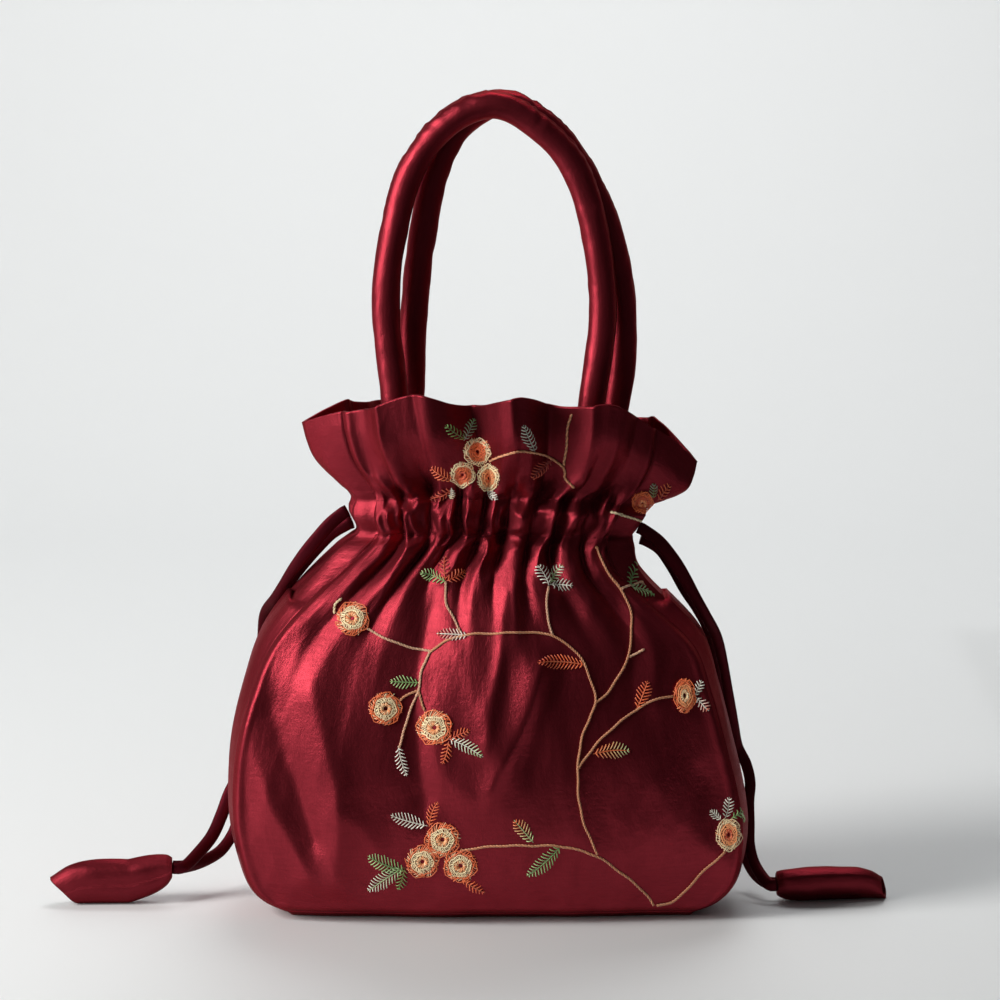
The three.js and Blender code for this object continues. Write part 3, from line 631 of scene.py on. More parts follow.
def grid_normals(grid, flip):
    """Unit normals of a grid of points, from its finite differences."""
    normal = np.cross(np.gradient(grid, axis=1), np.gradient(grid, axis=0))
    normal /= np.maximum(np.linalg.norm(normal, axis=-1, keepdims=True), 1e-9)
    return -normal if flip else normal


def shell_mesh(name, grid, normals, wall, turned):
    """A closed cloth wall from its outer grid in millimetres, its normals and its thickness in metres."""
    outer = grid * MM
    inner = outer - normals * wall
    rows, columns = grid.shape[:2]
    points = np.concatenate([outer.reshape(-1, 3), inner.reshape(-1, 3)])
    index = np.arange(rows * columns).reshape(rows, columns)
    a, b = index[:-1, :-1], index[:-1, 1:]
    c, d = index[1:, 1:], index[1:, :-1]
    front = np.stack([a, b, c, d], -1).reshape(-1, 4)
    back = front[:, ::-1] + rows * columns
    edge = np.concatenate([index[0, :-1], index[:-1, -1], index[-1, :0:-1], index[:0:-1, 0]])
    after = np.roll(edge, -1)
    rim = np.stack([after, edge, edge + rows * columns, after + rows * columns], -1)
    faces = np.concatenate([front, back, rim])
    if turned:
        faces = faces[:, ::-1]
    return mesh_of(name, points, faces)


def mesh_of(name, points, faces):
    """A smooth mesh from arrays of points and faces."""
    mesh = bpy.data.meshes.new(name)
    mesh.from_pydata(points.tolist(), [], faces.tolist())
    mesh.update()
    mesh.shade_smooth()
    return mesh


def add_uv(mesh, coordinates):
    """A UV map from one coordinate pair for each vertex."""
    layer = mesh.uv_layers.new(name="cloth")
    corner = np.empty(len(mesh.loops), dtype=np.int32)
    mesh.loops.foreach_get("vertex_index", corner)
    layer.data.foreach_set("uv", coordinates[corner].astype(np.float32).ravel())


def new_piece(name, mesh, material):
    """A finished piece on the bag's one body."""
    piece = bpy.data.objects.new(name, mesh)
    bpy.context.scene.collection.objects.link(piece)
    mesh.materials.clear()
    mesh.materials.append(material)
    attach(piece, "root")
    return piece


# Grids of the three cloth pieces


def panel_columns():
    """Places across a panel, closest together at the seams."""
    steps = np.linspace(-1, 1, 201)
    return np.sign(steps) * (1 - (1 - np.abs(steps)) ** 1.12)


def panel_rows():
    """Fractional rows of the sections, closest together at the neck and the collar."""
    bottom, body, neck = np.linspace(0, 1.5, 12), np.linspace(1.5, 9, 52), np.linspace(9, LAST_ROW, 104)
    return np.concatenate([bottom[:-1], body[:-1], neck])


def panel_hold(rows, across):
    """How firmly each point of a panel is held, and its share of spare cloth."""
    at = rows[:, None]
    edge = np.minimum(1, np.abs(across[None, :])) ** 40
    bottom = np.exp(-((at / 0.8) ** 2))
    rim = np.exp(-(((at - LAST_ROW) / 0.35) ** 2)) * 0.75
    stitches = sum(np.exp(-(((at - row) / 0.22) ** 2)) for row in (LOWER_STITCH_ROW, UPPER_STITCH_ROW))
    held = np.maximum.reduce([edge + 0 * at, bottom + 0 * edge, rim + 0 * edge, stitches + 0 * edge])
    held = np.clip(held, 0, 1)
    held = np.where(held > 0.9, 1, 0.015 + 0.3 * held)
    neck = np.exp(-(((at - 10.6) / 2.4) ** 2)) + 0.7 * np.exp(-(((at - 15.3) / 0.9) ** 2))
    patches = value_noise(across[None, :] * 5 + 20, at * 0.8 + 20, 31)
    spare = np.clip(0.03 + 0.17 * neck + 0.03 * patches + 0 * edge, 0, 0.22)
    return held, spare


def cloth_grids(sizes):
    """Outer grids of the front panel, the back panel and the gusset, in the frame's place, in millimetres."""
    if not SETTLED:
        SETTLED.append(settled_grids(sizes))
    return SETTLED[0]


def settled_grids(sizes):
    """Shapes the three pieces of cloth, lets the panel settle, and carries it round to the back."""
    across = panel_columns()
    rows = panel_rows()
    shaped = panel_surface(-1, across, rows, sizes)
    moved = np.zeros_like(shaped)
    moved = settle_cloth("panel", shaped, *panel_hold(rows, across)) - shaped
    front = shaped + moved
    back = panel_surface(1, across, rows, sizes) + moved[:, ::-1] * (-1, -1, 1)
    gusset = gusset_surface(front, back, rows, np.linspace(-1, 1, 21))
    shift = bag_shift()
    return front + shift, back + shift, gusset + shift, rows


def settle_cloth(name, grid, held, spare):
    """Lets the cloth settle: held is how firmly each point stays, spare the share of cloth to take up."""
    rows, columns = grid.shape[:2]
    index = np.arange(rows * columns).reshape(rows, columns)
    quads = np.stack([index[:-1, :-1], index[:-1, 1:], index[1:, 1:], index[1:, :-1]], -1).reshape(-1, 4)
    mesh = mesh_of(name + "_cut", grid.reshape(-1, 3) * MM * SETTLE_SCALE, quads)
    cut = bpy.data.objects.new(name + "_cut", mesh)
    scene = bpy.context.scene
    scene.collection.objects.link(cut)
    for group_name, weights in (("held", held), ("spare", spare / max(spare.max(), 1e-6))):
        group = cut.vertex_groups.new(name=group_name)
        levels = np.round(weights.ravel(), 2)
        for level in np.unique(levels):
            group.add(np.where(levels == level)[0].tolist(), float(level), "REPLACE")
    modifier = cut.modifiers.new("settle", "CLOTH")
    cloth = modifier.settings
    cloth.quality = 5
    cloth.mass = 0.3
    cloth.tension_stiffness = 80
    cloth.compression_stiffness = 80
    cloth.shear_stiffness = 40
    cloth.bending_stiffness = 0.08
    cloth.tension_damping = 5
    cloth.compression_damping = 5
    cloth.shear_damping = 5
    cloth.bending_damping = 0.3
    cloth.air_damping = 2
    cloth.vertex_group_mass = "held"
    cloth.pin_stiffness = 1
    cloth.vertex_group_shrink = "spare"
    cloth.shrink_min = 0
    cloth.shrink_max = -float(spare.max())
    cloth.effector_weights.gravity = 0
    modifier.collision_settings.use_collision = False
    modifier.point_cache.frame_start = 1
    modifier.point_cache.frame_end = SETTLE_FRAMES
    for frame_number in range(1, SETTLE_FRAMES + 1):
        scene.frame_set(frame_number)
    settled = cut.evaluated_get(bpy.context.evaluated_depsgraph_get())
    points = np.empty(rows * columns * 3)
    settled.data.vertices.foreach_get("co", points)
    scene.frame_set(1)
    bpy.data.objects.remove(cut)
    bpy.data.meshes.remove(mesh)
    return points.reshape(rows, columns, 3) / (MM * SETTLE_SCALE)


def bag_shift():
    """How far the bag is moved, in millimetres, so that its own middle stands over the frame's."""
    rows = np.linspace(0, LAST_ROW, 181)
    section = section_at(rows)
    reach = BELLY_HALF_WIDTH * section["seam_x"] + GUSSET_SWELL * section["swell"]
    middle = BELLY_HALF_WIDTH * section["shift"]
    low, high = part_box("gusset")
    across = -0.5 * ((middle - reach).min() + (middle + reach).max())
    return np.array([across, 0.5 * (low.y + high.y) / MM, 0])


# Materials


def group_socket(tree, name, kind, incoming, default=None):
    """A named socket of a node group."""
    socket = tree.interface.new_socket(name=name, in_out="INPUT" if incoming else "OUTPUT", socket_type=kind)
    if default is not None:
        socket.default_value = default
    return socket


def satin_weave_group():
    """Shared effect: the fine weave, slubs and worn sheen of satin, from the cloth's own UV map."""
    found = bpy.data.node_groups.get("satin_weave")
    if found:
        return found
    tree = bpy.data.node_groups.new("satin_weave", "ShaderNodeTree")
    group_socket(tree, "Thread", "NodeSocketColor", True, (0.3, 0.02, 0.04, 1))
    group_socket(tree, "Shade", "NodeSocketColor", True, (0.1, 0.01, 0.02, 1))
    group_socket(tree, "Threads per Metre", "NodeSocketFloat", True, 11000.0)
    group_socket(tree, "Crumple", "NodeSocketFloat", True, 0.5)
    group_socket(tree, "Slub", "NodeSocketFloat", True, 0.25)
    group_socket(tree, "Roughness", "NodeSocketFloat", True, 0.36)
    group_socket(tree, "Colour", "NodeSocketColor", False)
    group_socket(tree, "Roughness Out", "NodeSocketFloat", False)
    group_socket(tree, "Height", "NodeSocketFloat", False)
    nodes, links = tree.nodes, tree.links
    inputs = nodes.new("NodeGroupInput")
    outputs = nodes.new("NodeGroupOutput")
    place = nodes.new("ShaderNodeUVMap")
    place.uv_map = "cloth"
    stretch = nodes.new("ShaderNodeMapping")
    stretch.inputs["Scale"].default_value = (90, 900, 1)
    links.new(place.outputs["UV"], stretch.inputs["Vector"])
    slub = nodes.new("ShaderNodeTexNoise")
    slub.inputs["Scale"].default_value = 1.0
    slub.inputs["Detail"].default_value = 3.0
    links.new(stretch.outputs["Vector"], slub.inputs["Vector"])
    patch = nodes.new("ShaderNodeTexNoise")
    patch.inputs["Scale"].default_value = 55.0
    patch.inputs["Detail"].default_value = 2.0
    links.new(place.outputs["UV"], patch.inputs["Vector"])
    split = nodes.new("ShaderNodeSeparateXYZ")
    links.new(place.outputs["UV"], split.inputs["Vector"])
    waves = []
    for axis in ("X", "Y"):
        times = nodes.new("ShaderNodeMath")
        times.operation = "MULTIPLY"
        links.new(split.outputs[axis], times.inputs[0])
        links.new(inputs.outputs["Threads per Metre"], times.inputs[1])
        wave = nodes.new("ShaderNodeMath")
        wave.operation = "SINE"
        links.new(times.outputs[0], wave.inputs[0])
        waves.append(wave)
    weave = nodes.new("ShaderNodeMath")
    weave.operation = "MULTIPLY"
    links.new(waves[0].outputs[0], weave.inputs[0])
    links.new(waves[1].outputs[0], weave.inputs[1])
    slubbed = nodes.new("ShaderNodeMath")
    slubbed.operation = "MULTIPLY"
    links.new(slub.outputs["Fac"], slubbed.inputs[0])
    links.new(inputs.outputs["Slub"], slubbed.inputs[1])
    blend = nodes.new("ShaderNodeMath")
    blend.operation = "MULTIPLY_ADD"
    blend.inputs[1].default_value = 0.35
    links.new(patch.outputs["Fac"], blend.inputs[0])
    links.new(slubbed.outputs[0], blend.inputs[2])
    tint = nodes.new("ShaderNodeMix")
    tint.data_type = "RGBA"
    links.new(blend.outputs[0], tint.inputs["Factor"])
    links.new(inputs.outputs["Thread"], tint.inputs["A"])
    links.new(inputs.outputs["Shade"], tint.inputs["B"])
    links.new(tint.outputs["Result"], outputs.inputs["Colour"])
    rough = nodes.new("ShaderNodeMath")
    rough.operation = "MULTIPLY_ADD"
    rough.inputs[1].default_value = 0.12
    links.new(slub.outputs["Fac"], rough.inputs[0])
    links.new(inputs.outputs["Roughness"], rough.inputs[2])
    links.new(rough.outputs[0], outputs.inputs["Roughness Out"])
    crease = nodes.new("ShaderNodeTexNoise")
    crease.inputs["Scale"].default_value = 75.0
    crease.inputs["Detail"].default_value = 5.0
    crease.inputs["Roughness"].default_value = 0.72
    crease.inputs["Distortion"].default_value = 0.3
    links.new(place.outputs["UV"], crease.inputs["Vector"])
    woven = nodes.new("ShaderNodeMath")
    woven.operation = "MULTIPLY_ADD"
    woven.inputs[1].default_value = 0.015
    links.new(weave.outputs[0], woven.inputs[0])
    slubs = nodes.new("ShaderNodeMath")
    slubs.operation = "MULTIPLY"
    slubs.inputs[1].default_value = 0.07
    links.new(slub.outputs["Fac"], slubs.inputs[0])
    links.new(slubs.outputs[0], woven.inputs[2])
    height = nodes.new("ShaderNodeMath")
    height.operation = "MULTIPLY_ADD"
    links.new(crease.outputs["Fac"], height.inputs[0])
    links.new(inputs.outputs["Crumple"], height.inputs[1])
    links.new(woven.outputs[0], height.inputs[2])
    links.new(height.outputs[0], outputs.inputs["Height"])
    return tree


def satin_material(name, thread, shade, roughness, slub, metallic=0.82):
    """Satin: coloured sheen, with a weave that follows the cloth."""
    material = bpy.data.materials.get(name)
    if material:
        return material
    material = bpy.data.materials.new(name)
    material.use_nodes = True
    nodes, links = material.node_tree.nodes, material.node_tree.links
    shader = nodes["Principled BSDF"]
    weave = nodes.new("ShaderNodeGroup")
    weave.node_tree = satin_weave_group()
    weave.inputs["Thread"].default_value = (*thread, 1)
    weave.inputs["Shade"].default_value = (*shade, 1)
    weave.inputs["Roughness"].default_value = roughness
    weave.inputs["Slub"].default_value = slub
    links.new(weave.outputs["Colour"], shader.inputs["Base Color"])
    links.new(weave.outputs["Roughness Out"], shader.inputs["Roughness"])
    bump = nodes.new("ShaderNodeBump")
    bump.inputs["Strength"].default_value = 1.0
    bump.inputs["Distance"].default_value = MM
    links.new(weave.outputs["Height"], bump.inputs["Height"])
    links.new(bump.outputs["Normal"], shader.inputs["Normal"])
    shader.inputs["Metallic"].default_value = metallic
    shader.inputs["Anisotropic"].default_value = 0.3
    shader.inputs["Specular IOR Level"].default_value = 0.3
    shader.inputs["Specular Tint"].default_value = (0.45, 0.07, 0.1, 1)
    return material


def thread_material():
    """Lustrous rayon thread in the colour that each stitch carries."""
    material = bpy.data.materials.get("embroidery_thread")
    if material:
        return material
    material = bpy.data.materials.new("embroidery_thread")
    material.use_nodes = True
    nodes, links = material.node_tree.nodes, material.node_tree.links
    shader = nodes["Principled BSDF"]
    colour = nodes.new("ShaderNodeAttribute")
    colour.attribute_name = "thread_colour"
    links.new(colour.outputs["Color"], shader.inputs["Base Color"])
    place = nodes.new("ShaderNodeTexCoord")
    strands = nodes.new("ShaderNodeTexNoise")
    strands.inputs["Scale"].default_value = 2200.0
    links.new(place.outputs["Object"], strands.inputs["Vector"])
    bump = nodes.new("ShaderNodeBump")
    bump.inputs["Strength"].default_value = 0.3
    bump.inputs["Distance"].default_value = 0.0001
    links.new(strands.outputs["Fac"], bump.inputs["Height"])
    links.new(bump.outputs["Normal"], shader.inputs["Normal"])
    shader.inputs["Roughness"].default_value = 0.42
    shader.inputs["Sheen Weight"].default_value = 0.25
    return material


def bag_satin():
    colours = bpy.context.scene.evening_bag_colours
    return satin_material("burgundy_satin", colours.satin, colours.satin_dark, 0.3, 0.35)


def tassel_satin_painted_shade():
    # Painted shade: the tassels' satin is the bag's satin darkened to 0.62, as if the tassels lay in the
    # bag's shadow.
    colours = bpy.context.scene.evening_bag_colours
    thread = [0.62 * channel for channel in colours.satin]
    return satin_material("tassel_satin_painted_shade", thread, colours.satin_dark, 0.38, 0.35)


def cord_satin_painted_shade():
    # Painted shade: the drawcords' satin in the darkened cord colour, with its weave's darker thread at 0.4
    # of it.
    colours = bpy.context.scene.evening_bag_colours
    shade = [0.4 * channel for channel in colours.cord]
    return satin_material("drawcord_satin_painted_shade", colours.cord, shade, 0.4, 0.4, metallic=0.6)


# Tubes and lofts


def smooth_path(points, count):
    """Points evenly spaced along a smooth curve through the given ones."""
    table = np.array(points, dtype=float)
    dense = smooth_rows(table, np.linspace(0, len(table) - 1, 40 * len(table)))
    run = np.concatenate([[0], np.cumsum(np.linalg.norm(np.diff(dense, axis=0), axis=1))])
    even = np.linspace(0, run[-1], count)
    return np.stack([np.interp(even, run, dense[:, i]) for i in range(dense.shape[1])], -1)


def unit(vectors):
    return vectors / np.maximum(np.linalg.norm(vectors, axis=-1, keepdims=True), 1e-12)


def ways_along(path, depth_hint):
    """The depth and outward ways along a path; depth stays as near the hint as it can."""
    tangent = unit(np.gradient(path, axis=0))
    hint = np.broadcast_to(np.asarray(depth_hint, dtype=float), path.shape)
    depth = unit(hint - tangent * np.sum(hint * tangent, axis=1, keepdims=True))
    return depth, np.cross(depth, tangent)


def loft_mesh(name, rings, uv_scale):
    """A closed tube through rings of points in metres, with capped ends and a UV map in metres."""
    count, sides = rings.shape[:2]
    points = np.concatenate([rings.reshape(-1, 3), rings[:1].mean(axis=1), rings[-1:].mean(axis=1)])
    index = np.arange(count * sides).reshape(count, sides)
    after = np.roll(index, -1, axis=1)
    quads = np.stack([index[:-1], after[:-1], after[1:], index[1:]], -1).reshape(-1, 4)
    faces = [tuple(q) for q in quads.tolist()]
    start, end = count * sides, count * sides + 1
    faces += [(start, int(after[0, i]), int(index[0, i])) for i in range(sides)]
    faces += [(end, int(index[-1, i]), int(after[-1, i])) for i in range(sides)]
    mesh = bpy.data.meshes.new(name)
    mesh.from_pydata(points.tolist(), [], faces)
    mesh.update()
    mesh.shade_smooth()
    along = np.linspace(0, uv_scale[0], count)
    around = np.linspace(0, uv_scale[1], sides)
    grid = np.stack(np.meshgrid(along, around, indexing="ij"), -1).reshape(-1, 2)
    add_uv(mesh, np.concatenate([grid, [[0, 0], [uv_scale[0], 0]]]))
    return face_out(mesh)


def face_out(mesh):
    """Turns a closed mesh's faces outwards if they point in."""
    count = len(mesh.vertices)
    points = np.empty(count * 3)
    mesh.vertices.foreach_get("co", points)
    points = points.reshape(-1, 3)
    mesh.calc_loop_triangles()
    corners = np.empty(len(mesh.loop_triangles) * 3, dtype=np.int32)
    mesh.loop_triangles.foreach_get("vertices", corners)
    a, b, c = points[corners.reshape(-1, 3)].transpose(1, 0, 2)
    if np.sum(a * np.cross(b, c)) < 0:
        mesh.flip_normals()
    return mesh


# Handles


def foot_depth(end):
    """How far from the middle a handle's foot lies, flat against the channel's inner side, in millimetres."""
    section = {name: values[0] for name, values in section_at([FOOT_ROW]).items()}
    half_width = BELLY_HALF_WIDTH * section["seam_x"]
    crown = CROWN_DEPTH * section["crown"]
    across = (HANDLE_HALF_SPAN * end[0] - BELLY_HALF_WIDTH * section["shift"]) / half_width
    slope = 2 * crown * across / half_width
    wall = bpy.context.scene.evening_bag_sizes.wall / MM
    inside = GUSSET_HALF_DEPTH * section["seam_y"] + crown * (1 - across**2)
    inside = inside - GATHER_DEPTH * HANDLE_SEAT - wall
    return inside - HANDLE_CLEARANCE - math.hypot(HANDLE_FOOT_HALF_WIDTH * slope, HANDLE_FOOT_HALF_THICKNESS)


def handle_mesh(name, route, side, seed):
    """A padded satin tube: flat feet in the channel, a lengthwise seam, and small creases where it bends."""
    foot_height = COLLAR_RIM * SECTION_ROWS[FOOT_ROW][0]
    foot_y = side * min(foot_depth(route[0]), foot_depth(route[-1]))
    crown_y = side * (HANDLE_RADIUS + HANDLE_CLEARANCE / 2)
    points = []
    for across, up in route:
        lean = min(1, up / HANDLES_MEET_AT)
        y = foot_y + (crown_y - foot_y) * lean
        points.append((HANDLE_HALF_SPAN * across, y, foot_height + HANDLE_RISE * up))
    path = smooth_path(points, 240) + bag_shift()
    depth, outward = ways_along(path, (0, 1, 0))
    up = (path[:, 2] - foot_height) / HANDLE_RISE
    blend = np.clip((up - HANDLE_FLAT_UNTIL) / (HANDLE_ROUND_FROM - HANDLE_FLAT_UNTIL), 0, 1)
    blend = blend * blend * (3 - 2 * blend)
    width = HANDLE_FOOT_HALF_WIDTH + (HANDLE_RADIUS - HANDLE_FOOT_HALF_WIDTH) * blend
    thick = HANDLE_FOOT_HALF_THICKNESS + (HANDLE_RADIUS - HANDLE_FOOT_HALF_THICKNESS) * blend
    sides = 40
    angle = np.linspace(0, 2 * np.pi, sides, endpoint=False)
    run = np.linspace(0, np.linalg.norm(np.diff(path, axis=0), axis=1).sum(), len(path))
    s, a = np.meshgrid(run, angle, indexing="ij")
    seam = np.angle(np.exp(1j * (a - 0.9 * np.pi)))
    ridge = 0.5 * np.exp(-((seam / 0.13) ** 2)) - 0.45 * np.exp(-(((seam - 0.3) / 0.2) ** 2))
    wobble = value_noise(s / 17 + 30, np.cos(a) * 1.2 + 30, seed) * 0.3
    pinch = value_noise(s / 5.5 + 1.1 * np.sin(a) + 30, np.sin(a) * 1.6 + 30, seed + 1) * 0.22
    bend = np.exp(-(((up - 1) / 0.22) ** 2))[:, None]
    puckers = 0.4 - 2 * np.abs(value_noise(s / 3.2 + 0.8 * np.sin(a) + 30, np.sin(a) * 0.8 + 30, seed + 2))
    creases = bend * 0.5 * puckers * np.clip(0.3 - np.cos(a), 0, 1)
    swell = ridge + wobble + pinch + creases
    rings = (path[:, None, :] + outward[:, None, :] * ((width[:, None] + swell) * np.cos(angle))[..., None]
             + depth[:, None, :] * ((thick[:, None] + swell) * np.sin(angle))[..., None])
    return loft_mesh(name, rings * MM, (run[-1] * MM, 2 * math.pi * HANDLE_RADIUS * MM))


# Drawcords and tassels


def cord_path(name):
    """A drawcord's centre line, which begins against the neck's side."""
    path = smooth_path(CORD_ROUTES[name], 150) + bag_shift()
    path[0, 0] -= math.copysign(CORD_TUCK, path[0, 0])
    return path


def cord_mesh(name, seed):
    """A flat satin tube along its route, pressed along both edges and gently twisted."""
    path = cord_path(name)
    depth, outward = ways_along(path, (0, 1, 0))
    share = np.linspace(0, 1, len(path))
    turn = 0.3 * value_noise(share * 5 + 30, np.full_like(share, 30.5), seed)
    width_way = outward * np.cos(turn)[:, None] + depth * np.sin(turn)[:, None]
    thick_way = depth * np.cos(turn)[:, None] - outward * np.sin(turn)[:, None]
    sides = 20
    angle = np.linspace(0, 2 * np.pi, sides, endpoint=False)
    lens = np.sign(np.sin(angle)) * np.abs(np.sin(angle)) ** 1.15
    narrow = 1 - 0.16 * (1 + value_noise(share * 9 + 30, np.full_like(share, 31.5), seed + 1))
    half_width = 0.5 * CORD_WIDTH * narrow
    thin = 0.75 + 0.25 * value_noise(share * 12 + 30, np.full_like(share, 32.5), seed + 2)
    half_thick = 0.5 * CORD_THICKNESS * thin
    rings = (path[:, None, :] + width_way[:, None, :] * (half_width[:, None] * np.cos(angle))[..., None]
             + thick_way[:, None, :] * (half_thick[:, None] * lens)[..., None])
    length = np.linalg.norm(np.diff(path, axis=0), axis=1).sum()
    return loft_mesh(name, rings * MM, (length * MM, 2 * CORD_WIDTH * MM)), path * MM


def tassel_mesh(name, neck, direction, roll, slant, seed):
    """A folded satin tab that closes on the cords at its neck and is open at its mouth."""
    along = unit(np.array(direction, dtype=float))
    level = unit(np.cross((0, 0, 1), along))
    turn = math.radians(roll)
    tall_way = np.array([0, 0, 1]) * math.cos(turn) + np.cross(along, (0, 0, 1)) * math.sin(turn)
    thick_way = level * math.cos(turn) + np.cross(along, level) * math.sin(turn)
    rows = np.concatenate([np.linspace(0, 1, 16)[:-1], np.linspace(1, 6, 50)])
    outside = smooth_rows(np.array(TASSEL_ROWS, dtype=float), rows)
    hollow = outside[outside[:, 0] > 0.3][::-1]
    sides = 44
    angle = np.linspace(0, 2 * np.pi, sides, endpoint=False)
    rings = []
    for values, inset in [(v, 0.0) for v in outside] + [(v, TASSEL_WALL) for v in hollow]:
        share, tall, thick = values[0], TASSEL_HALF_HEIGHT * values[1], TASSEL_HALF_THICKNESS * values[2]
        resting = math.hypot(tall * tall_way[2], thick * thick_way[2])
        centre = np.array(neck) + along * TASSEL_LENGTH * share
        settle = min(1, share / TASSEL_SETTLED)
        centre[2] = max(resting, neck[2] + (resting - neck[2]) * settle)
        crumple = value_noise(share * 7 + 30 + np.cos(angle), np.sin(angle) * 1.5 + 30, seed) * 0.6
        fold = 0.35 * np.exp(-((np.angle(np.exp(1j * (angle - 0.5 * np.pi))) / 0.16) ** 2))
        mouth = slant * share**6 * np.sin(angle)
        reach = 1 + (np.abs(np.cos(angle)) * np.abs(np.sin(angle))) * 0.2
        ring = (centre + thick_way * (((thick - inset) * reach + crumple) * np.cos(angle))[:, None]
                + tall_way * ((tall - inset + fold * (inset == 0)) * np.sin(angle))[:, None]
                + along * mouth[:, None])
        ring[:, 2] = np.maximum(ring[:, 2], 0.25 + inset)
        rings.append(ring)
    return loft_mesh(name, np.array(rings) * MM, (2 * TASSEL_LENGTH * MM, 50 * MM))


# Embroidery


class Sketch:
    """Threads drawn in the photograph's pixels, to be laid on the cloth."""

    def __init__(self, seed):
        self.random = np.random.default_rng(seed)
        self.threads = []

    def thread(self, points, lifts, colour, thickness):
        tone = 1 + self.random.uniform(-0.16, 0.16)
        shade = tuple(min(1, channel * tone) for channel in colour)
        points, lifts = np.asarray(points, dtype=float), np.asarray(lifts, dtype=float)
        self.threads.append((points, lifts, shade, thickness))

    def stitch(self, start, end, colour, thickness=1.0, lift=0.9):
        start, end = np.asarray(start, dtype=float), np.asarray(end, dtype=float)
        shares = np.array([0, 0.3, 0.7, 1])
        points = start + (end - start) * shares[:, None]
        lifts = np.array([-0.2, 0.9, 0.9, -0.2]) + (lift - 0.4) * np.array([0.2, 1, 1, 0.2])
        self.thread(points, lifts, colour, thickness)

    def vine(self, colour, points):
        """Two plies twisted along a line, in short overlapping stitches."""
        dense = smooth_path(points, 400)
        length = np.linalg.norm(np.diff(dense, axis=0), axis=1).sum()
        count = max(6, int(length / 1.0))
        path = smooth_path(points, count)
        tangent = unit(np.gradient(path, axis=0))
        sideways = np.stack([-tangent[:, 1], tangent[:, 0]], -1)
        twist = np.arange(count) * 1.0
        wander = 0.35 * np.sin(np.arange(count) * 0.21 + self.random.uniform(0, 6))[:, None] * sideways
        for phase, tone in ((0, 1.0), (math.pi, 0.72)):
            ply = path + wander + sideways * 0.7 * np.sin(twist + phase)[:, None]
            lifts = 1.0 + 0.5 * np.cos(twist + phase)
            lifts[0] = lifts[-1] = -0.3
            self.thread(ply, lifts, tone * np.array(colour), 1.5)

    def leaf(self, foot, tip, plump, foot_colour, tip_colour):
        """A midrib with slanted stitches on both sides, closed at the tip."""
        foot, tip = np.array(foot, dtype=float), np.array(tip, dtype=float)
        run = tip - foot
        length = np.linalg.norm(run)
        along = run / length
        across = np.array([-along[1], along[0]])
        bend = self.random.uniform(-0.06, 0.06) * length
        count = max(5, int(length / 3.3))
        for i in range(count):
            share = (i + 0.5) / count
            middle = foot + run * share + across * bend * math.sin(math.pi * share)
            wide = plump * length * math.sin(math.pi * min(1, 0.12 + 0.86 * share)) ** 0.8
            colour = np.array(THREADS[foot_colour]) * (1 - share) + np.array(THREADS[tip_colour]) * share
            for flank in (-1, 1):
                reach = wide * self.random.uniform(0.88, 1.1)
                end = middle + across * flank * reach + along * reach * 0.55
                self.stitch(middle - along * 0.6, end, colour, 1.15, 1.2)
        rib = [foot + run * s + across * bend * math.sin(math.pi * s) for s in np.linspace(-0.05, 1.02, 7)]
        self.thread(rib, [-0.3, 1.2, 1.4, 1.4, 1.4, 1.2, -0.3], np.array(THREADS[foot_colour]) * 0.8, 1.1)

    def rose(self, centre, half_width, half_height, rim, ring, heart):
        """Slanted rings of stitches, crossed by loose loops of thread, around a small open heart."""
        centre = np.array(centre, dtype=float)
        half = np.array([half_width, half_height], dtype=float)

        def at(angle, radius):
            return centre + half * radius * np.array([math.cos(angle), math.sin(angle)])

        rings = (
            (0.55, 0.97, 46, 0.38, rim, 1.0),
            (0.34, 0.7, 36, -0.34, ring, 1.7),
            (0.14, 0.42, 22, 0.45, heart, 2.1),
        )
        for inner, outer, count, slant, colour, lift in rings:
            for i in range(count):
                angle = 2 * math.pi * (i + self.random.uniform(-0.3, 0.3)) / count
                far = outer * self.random.uniform(0.9, 1.05)
                near = inner * self.random.uniform(0.9, 1.12)
                blend = self.random.uniform(0, 1) ** 2.5
                tone = np.array(THREADS[colour]) * (1 - blend) + np.array(THREADS[ring]) * blend
                self.stitch(at(angle, near), at(angle + slant, far), tone, 1.1, lift)
        loops = ((0.93, rim, 1.5), (0.76, rim, 2.1), (0.62, ring, 2.4), (0.42, ring, 2.6), (0.25, heart, 2.4))
        for radius, colour, lift in loops:
            start = self.random.uniform(0, 2 * math.pi)
            turns = np.linspace(0, 2 * math.pi * self.random.uniform(0.9, 1.3), 26)
            wobble = radius * (1 + 0.07 * np.sin(5 * turns + start) + 0.04 * np.sin(9 * turns))
            points = [at(start + turn, r) for turn, r in zip(turns, wobble)]
            lifts = np.full(len(points), lift)
            lifts[0] = lifts[-1] = 0
            self.thread(points, lifts, THREADS[colour], 1.0)


def picture_ray(px, py):
    """The camera's place and the way to a pixel of the photograph."""
    camera = bpy.context.scene.camera
    reach = SENSOR / camera.data.lens
    x = ((px + 0.5) / PICTURE_SIDE - 0.5 + camera.data.shift_x) * reach
    y = (0.5 - (py + 0.5) / PICTURE_SIDE + camera.data.shift_y) * reach
    return camera.location.copy(), (camera.rotation_euler.to_matrix() @ Vector((x, y, -1))).normalized()


def surface_tree(*grids):
    """A search tree over outer grids in millimetres."""
    points, faces = [], []
    for grid in grids:
        base = len(points)
        rows, columns = grid.shape[:2]
        points += (grid.reshape(-1, 3) * MM).tolist()
        index = base + np.arange(rows * columns).reshape(rows, columns)
        quads = np.stack([index[:-1, :-1], index[:-1, 1:], index[1:, 1:], index[1:, :-1]], -1)
        faces += quads.reshape(-1, 4).tolist()
    return BVHTree.FromPolygons(points, faces)


